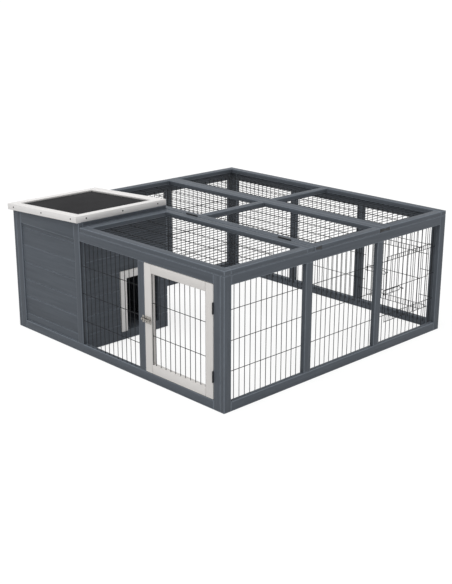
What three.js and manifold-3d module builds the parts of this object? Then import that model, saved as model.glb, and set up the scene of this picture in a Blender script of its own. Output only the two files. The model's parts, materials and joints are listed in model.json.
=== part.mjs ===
// Outdoor rabbit run: a square timber run of three bays a side, closed with welded wire mesh, with a
// small boarded house in its front left corner. Millimetres, +Z up. While it is built, X runs from the
// left side to the right, Y from the front to the back, and the zero is the front left foot. The
// finished group is moved so that its origin is the middle of its footprint, on the ground.
import * as THREE from 'three';
import { mergeVertices } from 'three/addons/utils/BufferGeometryUtils.js';
import Module from 'manifold-3d';

// ---------------------------------------------------------------- driving dimensions

// Run
const RUN_LENGTH = 1200;
const RUN_DEPTH = 1200;
const PANEL_HEIGHT = 472;
const BOARD = 18; // thickness of every frame timber
const UPRIGHT = 32; // width of stiles and posts
const RAIL = 34; // height of top and bottom rails
const ARRIS = 1.5; // planed-off corner of a batten
const SEAT = 0.3; // clearance between pieces that touch

// Welded mesh
const WIRE = 2.5;
const LINE_PITCH = 25.4; // between the close wires
const CROSS_PITCH = 107; // between the sparse wires
const MESH_CENTRE = 239; // height of the walls' middle sparse wire
const MESH_MARGIN = 12; // wire held on the timber past an opening's edge
const GATE_CELLS = 11; // close-wire cells that a gate's opening takes out
const BACK_GATE_DROP = 40; // the back gate sits lower than the right one
const GATE_MARGIN = 39; // from a stile to the wire that a gate turns on
const GATE_SAG = 3; // a gate hangs lower than the edges of its opening

// Lids over the run
const LID_BOARD = 17.7;
const LID_WIDTH = 31; // width of the lid battens
const LID_CROSS_PITCH = 90;
const FRONT_ROW = 423; // depth of the front row: the house and the front lid
const ROW_SLOT = 6; // slot behind the front row, where its hinges lie
const MIDDLE_ROW_END = 816;
const LID_SIDE_GAP = 5; // between the house wall and the front lid

// House
const HOUSE_LENGTH = 432;
const HOUSE_WALL = 12; // inner walls
const BOARDING = 10; // boards let into the frames
const BOARD_PITCH = 71;
const FIRST_GROOVE = 66; // height of the lowest groove
const GROOVE = 4;
const BOARDING_SET_BACK = 6;
const WALL_FOOT = 4; // inner walls stop short of the ground
const EAVES_RISE = 10.3; // from the walls' top to the roof's underside over the outer left face
const RIDGE_RISE = 34; // the same over the house wall that faces the run
const FLOOR_TOP = 30;
const FLOOR_BOARD = 9;
const DOORWAY_START = 211; // from the front face of the run
const DOORWAY_WIDTH = 164;
const DOORWAY_SILL = 39;
const DOORWAY_HEIGHT = 214;
const DOORWAY_TRIM = 30;
const TRIM_BOARD = 6;

// Roof
const ROOF_OVERHANG_LEFT = 24;
const ROOF_OVERHANG_FRONT = 8;
const ROOF_DECK = 14;
const FELT = 2.5;
const TRIM_HEIGHT = 23.5;
const TRIM_TOP_WIDTH = 37;
const TRIM_SIDE = 9;

// Door
const DOOR_OPENING = 350;
const DOOR_STILE = 36;
const DOOR_RAIL = 33;
const DOOR_GAP = 1.7; // latch side, top and bottom
const DOOR_HINGE_GAP = 3;
const DOOR_CROSS_PITCH = 120;
const DOOR_MESH_SET_BACK = 3;
const DOOR_HINGE_HEIGHTS = [117, 355];

// Hinges
const DOOR_HINGE_LENGTH = 40;
const LID_HINGE_LENGTH = 60;
const LID_HINGE_INSET = 110; // from each end of the front lid
const ROOF_HINGE_LENGTH = 60;
const ROOF_HINGE_INSET = 60; // from each end of the house
const LEAF = 1;
const LEAF_WIDTH = 14;
const ROOF_LEAF_PAST_MIDDLE = 6; // top of the roof's leaves above the middle of its trim
const BARREL = 5; // outside diameter
const PIN = 2.6;
const PIN_CLEARANCE = 0.15;
const KNUCKLE_GAP = 0.4;
const PIN_SIDES = 6;

// Barrel bolt
const BOLT_HEIGHT = 231;
const BOLT_PLATE_WIDTH = 26;
const BOLT_PLATE_LENGTH = 33;
const BOLT_PLATE = 1.2;
const BOLT_DIAMETER = 6;
const BOLT_CLEARANCE = 0.4;
const BOLT_THROW = 12;
const BOLT_LENGTH = 40;
const STRAP = 1.2;
const STRAP_WIDTH = 6;
const KEEPER_WIDTH = 8;

// Wire gates
const GATE_WIRE = 2.5;
const GATE_OVERLAP = 21.5; // past the opening, top and bottom
const GATE_REST = 0.8; // between the closed gate and the mesh it lies on
const GATE_LATCH_MARGIN = 6.7; // from the mesh wire to the gate's free edge
const EYE_CLEARANCE = 0.8;
const LATCH_PRONG_PITCH = 15;
const LATCH_DROP = 9; // upper prong below the wall's middle sparse wire
const LATCH_REACH = 3.2; // prong tips from the mesh wire, latch drawn back
const LATCH_LENGTH = 105.5;
const LATCH_KNOB = 5;
const LATCH_KNOB_LENGTH = 14;
const GUIDE_WIRE = 2;
const GUIDE_GAP = 0.4;

// Tie plate between the two rear lids
const TIE_LENGTH = 60;
const TIE_HEIGHT = 15;
const TIE_WAIST = 6;
const TIE_PLATE = 1.2;

// ---------------------------------------------------------------- places worked out from them

const insideRight = RUN_LENGTH - BOARD;
const insideBack = RUN_DEPTH - BOARD;
const railTop = RAIL;
const topRailFoot = PANEL_HEIGHT - RAIL;
const lidFoot = PANEL_HEIGHT + SEAT;
const lidTop = lidFoot + LID_BOARD;
const eaves = PANEL_HEIGHT + EAVES_RISE;
const ridge = PANEL_HEIGHT + RIDGE_RISE;
const roofSlope = (ridge - eaves) / HOUSE_LENGTH;
const roofAngle = Math.atan(roofSlope);
const middleRowStart = FRONT_ROW + ROW_SLOT;
const doorOpeningEnd = insideRight - UPRIGHT;
const doorOpeningStart = doorOpeningEnd - DOOR_OPENING;
const roofUnderside = (x) => eaves + roofSlope * x;
const houseInside = {
  x: [BOARD + SEAT, HOUSE_LENGTH - HOUSE_WALL - SEAT],
  y: [BOARD + SEAT, FRONT_ROW - 2],
};

// ---------------------------------------------------------------- finishes

const finish = (color, roughness, metalness) => () =>
  new THREE.MeshStandardMaterial({ color, roughness, metalness });
const greyPaint = finish(0x596470, 0.6, 0);
const ivoryPaint = finish(0xe8e4dc, 0.55, 0);
const whitePaint = finish(0xf0eee9, 0.5, 0);
const roofFelt = finish(0x3b3b3d, 0.95, 0);
const darkWire = finish(0x2a2c2e, 0.45, 0.6);
const darkSteel = finish(0x35383b, 0.45, 0.7);
const brightSteel = finish(0xb9b6ae, 0.3, 0.9);

// ---------------------------------------------------------------- solids

const wasm = await Module();
wasm.setup();

const X = new THREE.Vector3(1, 0, 0);
const Y = new THREE.Vector3(0, 1, 0);
const Z = new THREE.Vector3(0, 0, 1);
const basis = (u, v, w) => new THREE.Matrix4().makeBasis(u, v, w);
// An extrusion along +Z is turned so that it runs along x, y or z; its two shape axes follow in order.
const turns = { x: basis(Y, Z, X), y: basis(Z, X, Y), z: new THREE.Matrix4() };

// A closed three.js geometry as a solid that can be joined and cut.
function solid(geometry) {
  const bare = geometry.clone();
  bare.deleteAttribute('normal');
  bare.deleteAttribute('uv');
  const merged = mergeVertices(bare, 1e-5);
  return new wasm.Manifold(new wasm.Mesh({
    numProp: 3,
    vertProperties: new Float32Array(merged.attributes.position.array),
    triVerts: new Uint32Array(merged.index.array),
  }));
}

// A solid back as a three.js geometry.
function geometryOf(body) {
  const mesh = body.getMesh();
  const geometry = new THREE.BufferGeometry();
  geometry.setAttribute('position', new THREE.BufferAttribute(mesh.vertProperties, 3));
  geometry.setIndex(new THREE.BufferAttribute(mesh.triVerts, 1));
  return geometry;
}

const joined = (geometries) => geometryOf(geometries.map(solid).reduce((a, b) => a.add(b)));
const cut = (geometry, ...tools) =>
  geometryOf(tools.map(solid).reduce((body, tool) => body.subtract(tool), solid(geometry)));
const common = (a, b) => geometryOf(solid(a).intersect(solid(b)));

// An outline of [a, b] points, extruded along an axis from one place to another.
function prism(points, axis, from, to, holes = []) {
  const ring = (list) => {
    const path = list.map(([a, b]) => new THREE.Vector2(a, b));
    return THREE.ShapeUtils.isClockWise(path) ? path.reverse() : path;
  };
  const shape = new THREE.Shape(ring(points));
  for (const hole of holes) shape.holes.push(new THREE.Path(ring(hole)));
  const geometry = new THREE.ExtrudeGeometry(shape, { depth: to - from, bevelEnabled: false });
  geometry.translate(0, 0, from);
  return geometry.applyMatrix4(turns[axis]);
}

const rectangle = (a0, a1, b0, b1) => [[a0, b0], [a1, b0], [a1, b1], [a0, b1]];

const block = ([x0, x1], [y0, y1], [z0, z1]) => prism(rectangle(x0, x1, y0, y1), 'z', z0, z1);

// A planed batten: a rectangle with its four long corners taken off.
function batten(axis, [a0, a1], [b0, b1], [from, to], arris = ARRIS) {
  const outline = [
    [a0 + arris, b0], [a1 - arris, b0], [a1, b0 + arris], [a1, b1 - arris],
    [a1 - arris, b1], [a0 + arris, b1], [a0, b1 - arris], [a0, b0 + arris],
  ];
  return prism(outline, axis, from, to);
}

// A round bar of few sides along an axis, centred on [a, b].
function bar(axis, [a, b], diameter, from, to, sides = 12) {
  const points = [];
  for (let i = 0; i < sides; i++) {
    const angle = (2 * Math.PI * (i + 0.5)) / sides;
    points.push([a + (diameter / 2) * Math.cos(angle), b + (diameter / 2) * Math.sin(angle)]);
  }
  return prism(points, axis, from, to);
}

function piece(name, geometry, material) {
  const mesh = new THREE.Mesh(geometry, material());
  mesh.name = name;
  return mesh;
}

const run = new THREE.Group();
const put = (name, geometry, material) => run.add(piece(name, geometry, material));

// ---------------------------------------------------------------- wall timbers

const full = [0, PANEL_HEIGHT];
const betweenRails = [railTop + SEAT, topRailFoot - SEAT];
const bottomRail = [0, railTop];
const topRail = [topRailFoot, PANEL_HEIGHT];

// Where the two inner posts of a three-bay wall start.
function innerPosts(from, to) {
  const bay = (to - from - 4 * UPRIGHT) / 3;
  return [from + UPRIGHT + bay, from + 2 * (UPRIGHT + bay)];
}

const sideWall = [0, RUN_DEPTH];
const backWall = [BOARD + SEAT, insideRight - SEAT];
const sidePosts = innerPosts(...sideWall);
const backPosts = innerPosts(...backWall);

function rightWall() {
  const thickness = [insideRight, RUN_LENGTH];
  const upright = (name, y, span) => put(name, batten('z', thickness, [y, y + UPRIGHT], span), greyPaint);
  const rail = (name, span) =>
    put(name, batten('y', span, thickness, [UPRIGHT + SEAT, RUN_DEPTH - UPRIGHT - SEAT]), greyPaint);
  upright('right_front_stile', 0, full);
  upright('right_front_post', sidePosts[0], betweenRails);
  upright('right_rear_post', sidePosts[1], betweenRails);
  upright('right_rear_stile', RUN_DEPTH - UPRIGHT, full);
  rail('right_bottom_rail', bottomRail);
  rail('right_top_rail', topRail);
}

// The back wall's rails and stiles are one stapled frame, with its two posts let in.
function backWallTimbers() {
  const [x0, x1] = backWall;
  const hole = rectangle(x0 + UPRIGHT, x1 - UPRIGHT, ...rails());
  const frame = prism(mirrored(rectangle(x0, x1, 0, PANEL_HEIGHT)), 'y', insideBack, RUN_DEPTH, [mirrored(hole)]);
  put('back_frame', frame, greyPaint);
  const names = ['back_left_post', 'back_right_post'];
  names.forEach((name, i) => {
    const x = backPosts[i];
    put(name, batten('z', [x, x + UPRIGHT], [insideBack, RUN_DEPTH], betweenRails), greyPaint);
  });
}

function rails() {
  return [railTop, topRailFoot];
}

// A prism along y takes its outline as [z, x].
function mirrored(points) {
  return points.map(([a, b]) => [b, a]);
}

// The left wall's frame is taller over the house, up to the roof.
function leftWall() {
  const step = FRONT_ROW - 2;
  const top = eaves - SEAT;
  const outline = [
    [0, 0], [RUN_DEPTH, 0], [RUN_DEPTH, PANEL_HEIGHT], [step, PANEL_HEIGHT], [step, top], [0, top],
  ];
  const hole = rectangle(UPRIGHT, RUN_DEPTH - UPRIGHT, ...rails());
  put('left_frame', prism(outline, 'x', 0, BOARD, [hole]), greyPaint);
  const names = ['left_front_post', 'left_rear_post'];
  names.forEach((name, i) => {
    const y = sidePosts[i];
    put(name, batten('z', [0, BOARD], [y, y + UPRIGHT], betweenRails), greyPaint);
  });
}

const housePostStart = HOUSE_LENGTH - UPRIGHT;

// An upright under the roof, with its top cut to the slope.
function raked(x0, x1, z0) {
  const outline = [[x0, z0], [x1, z0], [x1, roofUnderside(x1) - SEAT], [x0, roofUnderside(x0) - SEAT]];
  return prism(mirrored(outline), 'y', 0, BOARD);
}

function frontWall() {
  const stileEnd = BOARD + SEAT + UPRIGHT;
  const thickness = [0, BOARD];
  put('front_left_stile', raked(BOARD + SEAT, stileEnd, 0), greyPaint);
  put('front_house_post', raked(housePostStart, HOUSE_LENGTH, railTop + SEAT), greyPaint);
  put('front_gable_board', raked(stileEnd + SEAT, housePostStart - SEAT, topRailFoot), greyPaint);
  const midPost = [doorOpeningStart - UPRIGHT, doorOpeningStart];
  put('front_mid_post', batten('z', midPost, thickness, betweenRails), greyPaint);
  const rightStile = [doorOpeningEnd, insideRight - SEAT];
  put('front_right_stile', batten('z', rightStile, thickness, full), greyPaint);
  const railEnd = doorOpeningEnd - SEAT;
  put('front_bottom_rail', batten('x', thickness, bottomRail, [stileEnd + SEAT, railEnd]), greyPaint);
  put('front_top_rail', batten('x', thickness, topRail, [HOUSE_LENGTH + SEAT, railEnd]), greyPaint);
}

// ---------------------------------------------------------------- welded mesh

// A wire along u or v of a sheet, squared so that crossing wires meet flat to flat at their weld.
// level is the low and high w of its flats.
function wire(along, place, level, from, to) {
  const width = [place - WIRE / 2, place + WIRE / 2];
  return along === 'u' ? block([from, to], width, level) : block(width, [from, to], level);
}

// A sheet in its own frame: close wires along v on one side of the weld plane w = 0, sparse wires
// along u on the other. side is the sign of w on which the close wires lie.
function sheet({ u, v, lines, crosses, side, opening }) {
  const near = side > 0 ? [0, WIRE] : [-WIRE, 0];
  const far = side > 0 ? [-WIRE, 0] : [0, WIRE];
  const isInside = (place, [from, to]) => place > from + WIRE && place < to - WIRE;
  const wires = [];
  for (const place of lines) {
    const isCut = opening && isInside(place, opening.u);
    const spans = isCut ? [[v[0], opening.v[0]], [opening.v[1], v[1]]] : [v];
    for (const [from, to] of spans) wires.push(wire('v', place, near, from, to));
  }
  for (const place of crosses) {
    const isCut = opening && isInside(place, opening.v);
    const spans = isCut ? [[u[0], opening.u[0]], [opening.u[1], u[1]]] : [u];
    for (const [from, to] of spans) wires.push(wire('u', place, far, from, to));
  }
  for (const place of opening?.edges ?? []) wires.push(wire('u', place, far, ...opening.held));
  return joined(wires);
}

// Places at a pitch, from the first that lies inside a span to the last.
function every(pitch, first, [from, to]) {
  const places = [];
  const start = first + Math.ceil((from - first) / pitch) * pitch;
  for (let place = start; place <= to; place += pitch) places.push(place);
  return places;
}

const centred = (count, pitch, centre) =>
  Array.from({ length: count }, (_, i) => centre + (i - (count - 1) / 2) * pitch);

const wallMeshSpan = [railTop - MESH_MARGIN, topRailFoot + MESH_MARGIN];
const wallCrosses = centred(3, CROSS_PITCH, MESH_CENTRE);

// u, v and w of each wall's sheet, and the place of its weld plane, just inside the timbers.
const frontSheet = (geometry) =>
  geometry.applyMatrix4(basis(X, Z, Y.clone().negate())).translate(0, BOARD + SEAT + WIRE, 0);
const backSheet = (geometry) =>
  geometry.applyMatrix4(basis(X, Z, Y.clone().negate())).translate(0, insideBack - SEAT - WIRE, 0);
const leftSheet = (geometry) =>
  geometry.applyMatrix4(basis(Y, Z, X)).translate(BOARD + SEAT + WIRE, 0, 0);
const rightSheet = (geometry) =>
  geometry.applyMatrix4(basis(Y, Z, X)).translate(insideRight - SEAT - WIRE, 0, 0);

// A gate turns on one of its wall's own close wires.
const gateWidth = GATE_CELLS * LINE_PITCH;
const rightBay = [sidePosts[1] + UPRIGHT, RUN_DEPTH - UPRIGHT];
const backBay = [backPosts[1] + UPRIGHT, insideRight - SEAT - UPRIGHT];
const rightPivot = rightBay[1] - GATE_MARGIN;
const backPivot = backBay[1] - GATE_MARGIN;

function wallMeshes() {
  const plain = (name, place, span, side) => put(name, place(sheet({
    u: span,
    v: wallMeshSpan,
    lines: every(LINE_PITCH, span[0] + LINE_PITCH / 4, span),
    crosses: wallCrosses,
    side,
  })), darkWire);
  const gated = (name, place, bay, pivot, drop, side) => {
    const corner = BOARD + 3 * WIRE;
    const span = [corner, bay[1] + MESH_MARGIN];
    const half = CROSS_PITCH;
    const edges = [MESH_CENTRE - drop - half, MESH_CENTRE - drop + half];
    put(name, place(sheet({
      u: span,
      v: wallMeshSpan,
      lines: every(LINE_PITCH, pivot, span),
      crosses: wallCrosses,
      side,
      opening: {
        u: [pivot - gateWidth, pivot],
        v: edges,
        edges: drop > 0 ? edges : [],
        held: [bay[0] - MESH_MARGIN, bay[1] + MESH_MARGIN],
      },
    })), darkWire);
  };
  plain('front_mesh', frontSheet, [HOUSE_LENGTH + 2 * SEAT, doorOpeningStart - SEAT], 1);
  plain('left_mesh', leftSheet, [houseInside.y[1] + WIRE, insideBack - SEAT - MESH_MARGIN], -1);
  gated('right_mesh', rightSheet, rightBay, rightPivot, 0, 1);
  gated('back_mesh', backSheet, backBay, backPivot, BACK_GATE_DROP, -1);
}

// ---------------------------------------------------------------- wire gates

// A gate and its sliding latch, in a sheet's frame with w outwards. The pivot wire is at u = 0 and
// the middle of the opening at v = 0. hand is -1 when the gate reaches towards -u, else +1.
function gate(hand) {
  const span = (near, far) => [Math.min(hand * near, hand * far), Math.max(hand * near, hand * far)];
  const half = CROSS_PITCH + GATE_OVERLAP;
  // Outwards from the weld plane: the wall's close wires, the gate's uprights, then its long wires.
  const uprightLevel = [GATE_REST, GATE_REST + GATE_WIRE];
  const longLevel = [uprightLevel[1], uprightLevel[1] + GATE_WIRE];
  const pivotLevel = WIRE / 2;
  const freeEdge = gateWidth - GATE_LATCH_MARGIN;
  const [foot, middle, head] = [-half, 0, half].map((v) => v - GATE_SAG);
  const wires = [
    wire('u', foot, longLevel, ...span(0, freeEdge)),
    wire('u', middle, longLevel, ...span(LINE_PITCH / 4, freeEdge)),
    wire('u', head, longLevel, ...span(0, freeEdge)),
  ];
  for (let i = 0; i < GATE_CELLS; i++) {
    wires.push(wire('v', hand * (i + 0.5) * LINE_PITCH, uprightLevel, foot, head));
  }
  // Eyes curled round the pivot wire at the gate's top and bottom, big enough to turn on it.
  const eyeRadius = longLevel[0] + GATE_WIRE / 2 - pivotLevel;
  wires.push(eye(eyeRadius, foot, pivotLevel), eye(eyeRadius, head, pivotLevel));
  // Guides behind two uprights hold the latch's prongs, just behind the wall's close wires.
  const latchLevel = [-SEAT - GATE_WIRE, -SEAT];
  const low = latchProngs[0] - GATE_WIRE / 2 - GUIDE_GAP;
  const high = latchProngs[1] + GATE_WIRE / 2 + GUIDE_GAP;
  const inner = latchLevel[0] - GUIDE_GAP;
  const outer = uprightLevel[0] + GATE_WIRE / 2;
  for (const i of [GATE_CELLS - 1, GATE_CELLS - 3]) {
    const u = hand * (i + 0.5) * LINE_PITCH;
    const width = [u - GUIDE_WIRE / 2, u + GUIDE_WIRE / 2];
    wires.push(
      block(width, [low - GUIDE_WIRE, low], [inner - GUIDE_WIRE, outer]),
      block(width, [high, high + GUIDE_WIRE], [inner - GUIDE_WIRE, outer]),
      block(width, [low - GUIDE_WIRE, high + GUIDE_WIRE], [inner - GUIDE_WIRE, inner]),
    );
  }
  return { gate: joined(wires), latch: latch(hand, latchLevel) };
}

const latchProngs = [-LATCH_DROP - LATCH_PRONG_PITCH, -LATCH_DROP];

// A closed ring of wire round the line u = 0, w = level.
function eye(radius, v, level) {
  const half = GATE_WIRE / 2;
  const corners = [[half, -half], [half, half], [-half, half], [-half, -half], [half, -half]];
  const profile = corners.map(([out, up]) => new THREE.Vector2(radius + out, up));
  return new THREE.LatheGeometry(profile, 12).rotateY(Math.PI / 12).translate(0, v, level);
}

// The latch: a hairpin of wire with a finger knob that stands out through the gate.
function latch(hand, level) {
  const span = (near, far) => [Math.min(hand * near, hand * far), Math.max(hand * near, hand * far)];
  const tip = gateWidth - LATCH_REACH;
  const end = tip - LATCH_LENGTH;
  const wires = latchProngs.map((v) => wire('u', v, level, ...span(end - GATE_WIRE / 2, tip)));
  wires.push(block(span(end - GATE_WIRE / 2, end + GATE_WIRE / 2), latchProngs, level));
  const knobPlace = [hand * end, (latchProngs[0] + latchProngs[1]) / 2];
  wires.push(bar('z', knobPlace, LATCH_KNOB, level[0], level[1] + LATCH_KNOB_LENGTH, 10));
  return joined(wires);
}

function gates() {
  const right = gate(-1);
  const placeRight = (geometry) =>
    geometry.applyMatrix4(basis(Y, Z, X)).translate(insideRight - SEAT - WIRE, rightPivot, MESH_CENTRE);
  put('right_gate', placeRight(right.gate), darkWire);
  put('right_gate_latch', placeRight(right.latch), darkWire);
  const back = gate(1);
  const placeBack = (geometry) =>
    geometry.applyMatrix4(basis(X.clone().negate(), Z, Y))
      .translate(backPivot, insideBack - SEAT - WIRE, MESH_CENTRE - BACK_GATE_DROP);
  put('back_gate', placeBack(back.gate), darkWire);
  put('back_gate_latch', placeBack(back.latch), darkWire);
}

// ---------------------------------------------------------------- house

// Boards with a V groove at each joint on one face: an outline of [depth, height] that is extruded.
// face is the depth of the grooved face and back that of the plain one.
function boards(face, back, [low, high]) {
  const into = Math.sign(back - face) * (GROOVE / 2);
  const points = [[back, high], [back, low], [face, low]];
  for (const z of every(BOARD_PITCH, FIRST_GROOVE, [low + GROOVE, high - GROOVE])) {
    points.push([face, z - GROOVE / 2], [face + into, z], [face, z + GROOVE / 2]);
  }
  points.push([face, high]);
  return points;
}

const boarding = (axis, face, back, heights, span) => {
  const outline = boards(face, back, heights);
  return prism(axis === 'y' ? mirrored(outline) : outline, axis, ...span);
};

// Everything below the roof, used to cut wall tops to its slope.
function underRoof() {
  const outline = [[0, 0], [RUN_LENGTH, 0], [RUN_LENGTH, roofUnderside(RUN_LENGTH) - SEAT], [0, eaves - SEAT]];
  return prism(mirrored(outline), 'y', -BOARD, RUN_DEPTH);
}

function houseWalls() {
  const opening = [railTop + SEAT, topRailFoot - SEAT];
  const frontSpan = [BOARD + 2 * SEAT + UPRIGHT, housePostStart - SEAT];
  const face = BOARDING_SET_BACK;
  put('house_front_boards', boarding('x', face, face + BOARDING, opening, frontSpan), greyPaint);
  const leftSpan = [UPRIGHT + SEAT, sidePosts[0] - SEAT];
  put('house_left_boards', boarding('y', face, face + BOARDING, opening, leftSpan), greyPaint);
  const backFace = houseInside.y[1];
  const heights = [WALL_FOOT, ridge + 2 * BOARD];
  const backBoards = boarding('x', backFace, backFace - HOUSE_WALL, heights, houseInside.x);
  put('house_back_wall', common(backBoards, underRoof()), greyPaint);
  const sideBoards = boarding('y', HOUSE_LENGTH, HOUSE_LENGTH - HOUSE_WALL, heights, houseInside.y);
  const doorway = block(
    [HOUSE_LENGTH - 2 * HOUSE_WALL, HOUSE_LENGTH + HOUSE_WALL],
    [DOORWAY_START, DOORWAY_START + DOORWAY_WIDTH],
    [DOORWAY_SILL, DOORWAY_SILL + DOORWAY_HEIGHT],
  );
  put('house_side_wall', cut(common(sideBoards, underRoof()), doorway), greyPaint);
  const floorBack = houseInside.y[1] - HOUSE_WALL - SEAT;
  put('house_floor', block(
    [houseInside.x[0], houseInside.x[1]],
    [houseInside.y[0], floorBack],
    [FLOOR_TOP - FLOOR_BOARD, FLOOR_TOP],
  ), greyPaint);
}

// White trim on the doorway's near jamb and over its head.
function doorwayTrim() {
  const y0 = DOORWAY_START - DOORWAY_TRIM;
  const y1 = DOORWAY_START;
  const head = DOORWAY_SILL + DOORWAY_HEIGHT;
  const outline = [
    [y0, DOORWAY_SILL], [y1, DOORWAY_SILL], [y1, head], [y1 + DOORWAY_WIDTH, head],
    [y1 + DOORWAY_WIDTH, head + DOORWAY_TRIM], [y0, head + DOORWAY_TRIM],
  ];
  const face = HOUSE_LENGTH + SEAT;
  put('doorway_trim', prism(outline, 'x', face, face + TRIM_BOARD), whitePaint);
}

// ---------------------------------------------------------------- roof

// The roof is built level, from its underside up, and tilted about the eaves over the left face.
function roof() {
  const tilted = new THREE.Group();
  tilted.position.set(0, 0, eaves);
  tilted.rotation.y = -roofAngle;
  const x = [-ROOF_OVERHANG_LEFT, HOUSE_LENGTH].map((place) => place / Math.cos(roofAngle));
  const y = [-ROOF_OVERHANG_FRONT, FRONT_ROW];
  const inner = TRIM_SIDE + SEAT;
  const feltTop = ROOF_DECK + SEAT + FELT;
  const within = ([from, to], margin) => [from + margin, to - margin];
  const deck = block(within(x, inner), within(y, inner), [0, ROOF_DECK]);
  const felt = block(within(x, inner), within(y, inner), [ROOF_DECK + SEAT, feltTop]);
  const ring = (margin, from, to) => prism(
    rectangle(...x, ...y), 'z', from, to, [rectangle(...within(x, margin), ...within(y, margin))],
  );
  const trim = joined([ring(TRIM_SIDE, 0, TRIM_HEIGHT), ring(TRIM_TOP_WIDTH, feltTop + SEAT, TRIM_HEIGHT)]);
  tilted.add(piece('roof_deck', deck, greyPaint));
  tilted.add(piece('roof_felt', felt, roofFelt));
  tilted.add(piece('roof_trim', trim, whitePaint));
  run.add(tilted);
}

// ---------------------------------------------------------------- lids

// A lid frame with cross bars: a board with a window cut out for each bay.
function lidFrame(x, y, bars) {
  const edges = [x[0] + LID_WIDTH, ...bars.flatMap((start) => [start, start + LID_WIDTH]), x[1] - LID_WIDTH];
  const windows = [];
  for (let i = 0; i < edges.length; i += 2) {
    const opening = [[edges[i], edges[i + 1]], [y[0] + LID_WIDTH, y[1] - LID_WIDTH]];
    windows.push(block(...opening, [lidFoot - BOARD, lidTop + BOARD]));
  }
  return cut(block(x, y, [lidFoot, lidTop]), ...windows);
}

// The mesh lies under the lid, inside the walls and clear of the next row.
function lidMesh(x, y) {
  const inset = 2 * WIRE;
  const u = [Math.max(x[0], BOARD) + inset, Math.min(x[1], insideRight) - inset];
  const v = [Math.max(y[0], BOARD) + inset, Math.min(y[1], insideBack) - inset];
  const middle = (u[0] + u[1]) / 2;
  const geometry = sheet({
    u,
    v,
    lines: every(LINE_PITCH, middle + LINE_PITCH / 2, [u[0] + WIRE, u[1] - WIRE]),
    crosses: centred(3, LID_CROSS_PITCH, (y[0] + y[1]) / 2),
    side: 1,
  });
  return geometry.translate(0, 0, lidFoot - SEAT - WIRE);
}

const frontLidStart = HOUSE_LENGTH + LID_SIDE_GAP;

function lids() {
  const crossBar = [RUN_LENGTH / 2 - LID_WIDTH / 2];
  const rows = [
    ['front_lid', [frontLidStart, RUN_LENGTH], [0, FRONT_ROW], []],
    ['middle_lid', [0, RUN_LENGTH], [middleRowStart, MIDDLE_ROW_END], crossBar],
    ['rear_lid', [0, RUN_LENGTH], [MIDDLE_ROW_END + SEAT, RUN_DEPTH], crossBar],
  ];
  for (const [name, x, y, bars] of rows) {
    put(`${name}_frame`, lidFrame(x, y, bars), greyPaint);
    put(`${name}_mesh`, lidMesh(x, y), darkWire);
  }
  const half = TIE_LENGTH / 2;
  const top = TIE_HEIGHT / 2;
  const waist = TIE_WAIST / 2;
  const tie = [[-half, -top], [0, -waist], [half, -top], [half, top], [0, waist], [-half, top]];
  const plate = prism(tie, 'x', RUN_LENGTH + SEAT, RUN_LENGTH + SEAT + TIE_PLATE);
  put('tie_plate', plate.translate(0, MIDDLE_ROW_END, (lidFoot + lidTop) / 2), darkSteel);
}

// ---------------------------------------------------------------- butt hinges

// Two leaves on a pin along local z. Each leaf is a plate that starts beside the barrel and runs out
// along its own direction, offset to one side of the pin; angle turns that direction about the pin.
function hinge(length, knuckles, fixed, moving) {
  const step = length / knuckles;
  const knuckle = (i) => [i * step + KNUCKLE_GAP / 2, (i + 1) * step - KNUCKLE_GAP / 2];
  const indices = [...Array(knuckles).keys()];
  const leaf = ({ angle, offset, width }, own) => {
    const clear = BARREL / 2 + KNUCKLE_GAP;
    const x = [offset - LEAF / 2, offset + LEAF / 2];
    const parts = [block(x, [clear, clear + width], [0, length])];
    for (const i of own) {
      parts.push(block(x, [0, clear + LEAF], knuckle(i)), bar('z', [0, 0], BARREL, ...knuckle(i), 8));
    }
    return { parts, turn: new THREE.Matrix4().makeRotationZ(angle) };
  };
  const outer = leaf(fixed, indices.filter((i) => i % 2 === 0));
  const inner = leaf(moving, indices.filter((i) => i % 2 === 1));
  const pin = bar('z', [0, 0], PIN, KNUCKLE_GAP / 2, length - KNUCKLE_GAP / 2, PIN_SIDES);
  const boreWidth = (PIN + 2 * PIN_CLEARANCE) / Math.cos(Math.PI / PIN_SIDES);
  const bore = bar('z', [0, 0], boreWidth, -1, length + 1, PIN_SIDES);
  return {
    fixed: joined([...outer.parts, pin]).applyMatrix4(outer.turn),
    moving: cut(joined(inner.parts), bore).applyMatrix4(inner.turn),
  };
}

// The turn that lays local z along an axis and local y along a second direction.
const laid = (z, y) => basis(new THREE.Vector3().crossVectors(y, z), y, z);

// The line behind the front row that the roof and the front lid turn on.
const rowHingeZ = lidTop + BARREL / 2 + SEAT;
const rowHingeY = FRONT_ROW + ROW_SLOT / 2;

const ends = (from, to, inset, length) => [from + inset, to - inset - length];

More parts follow.
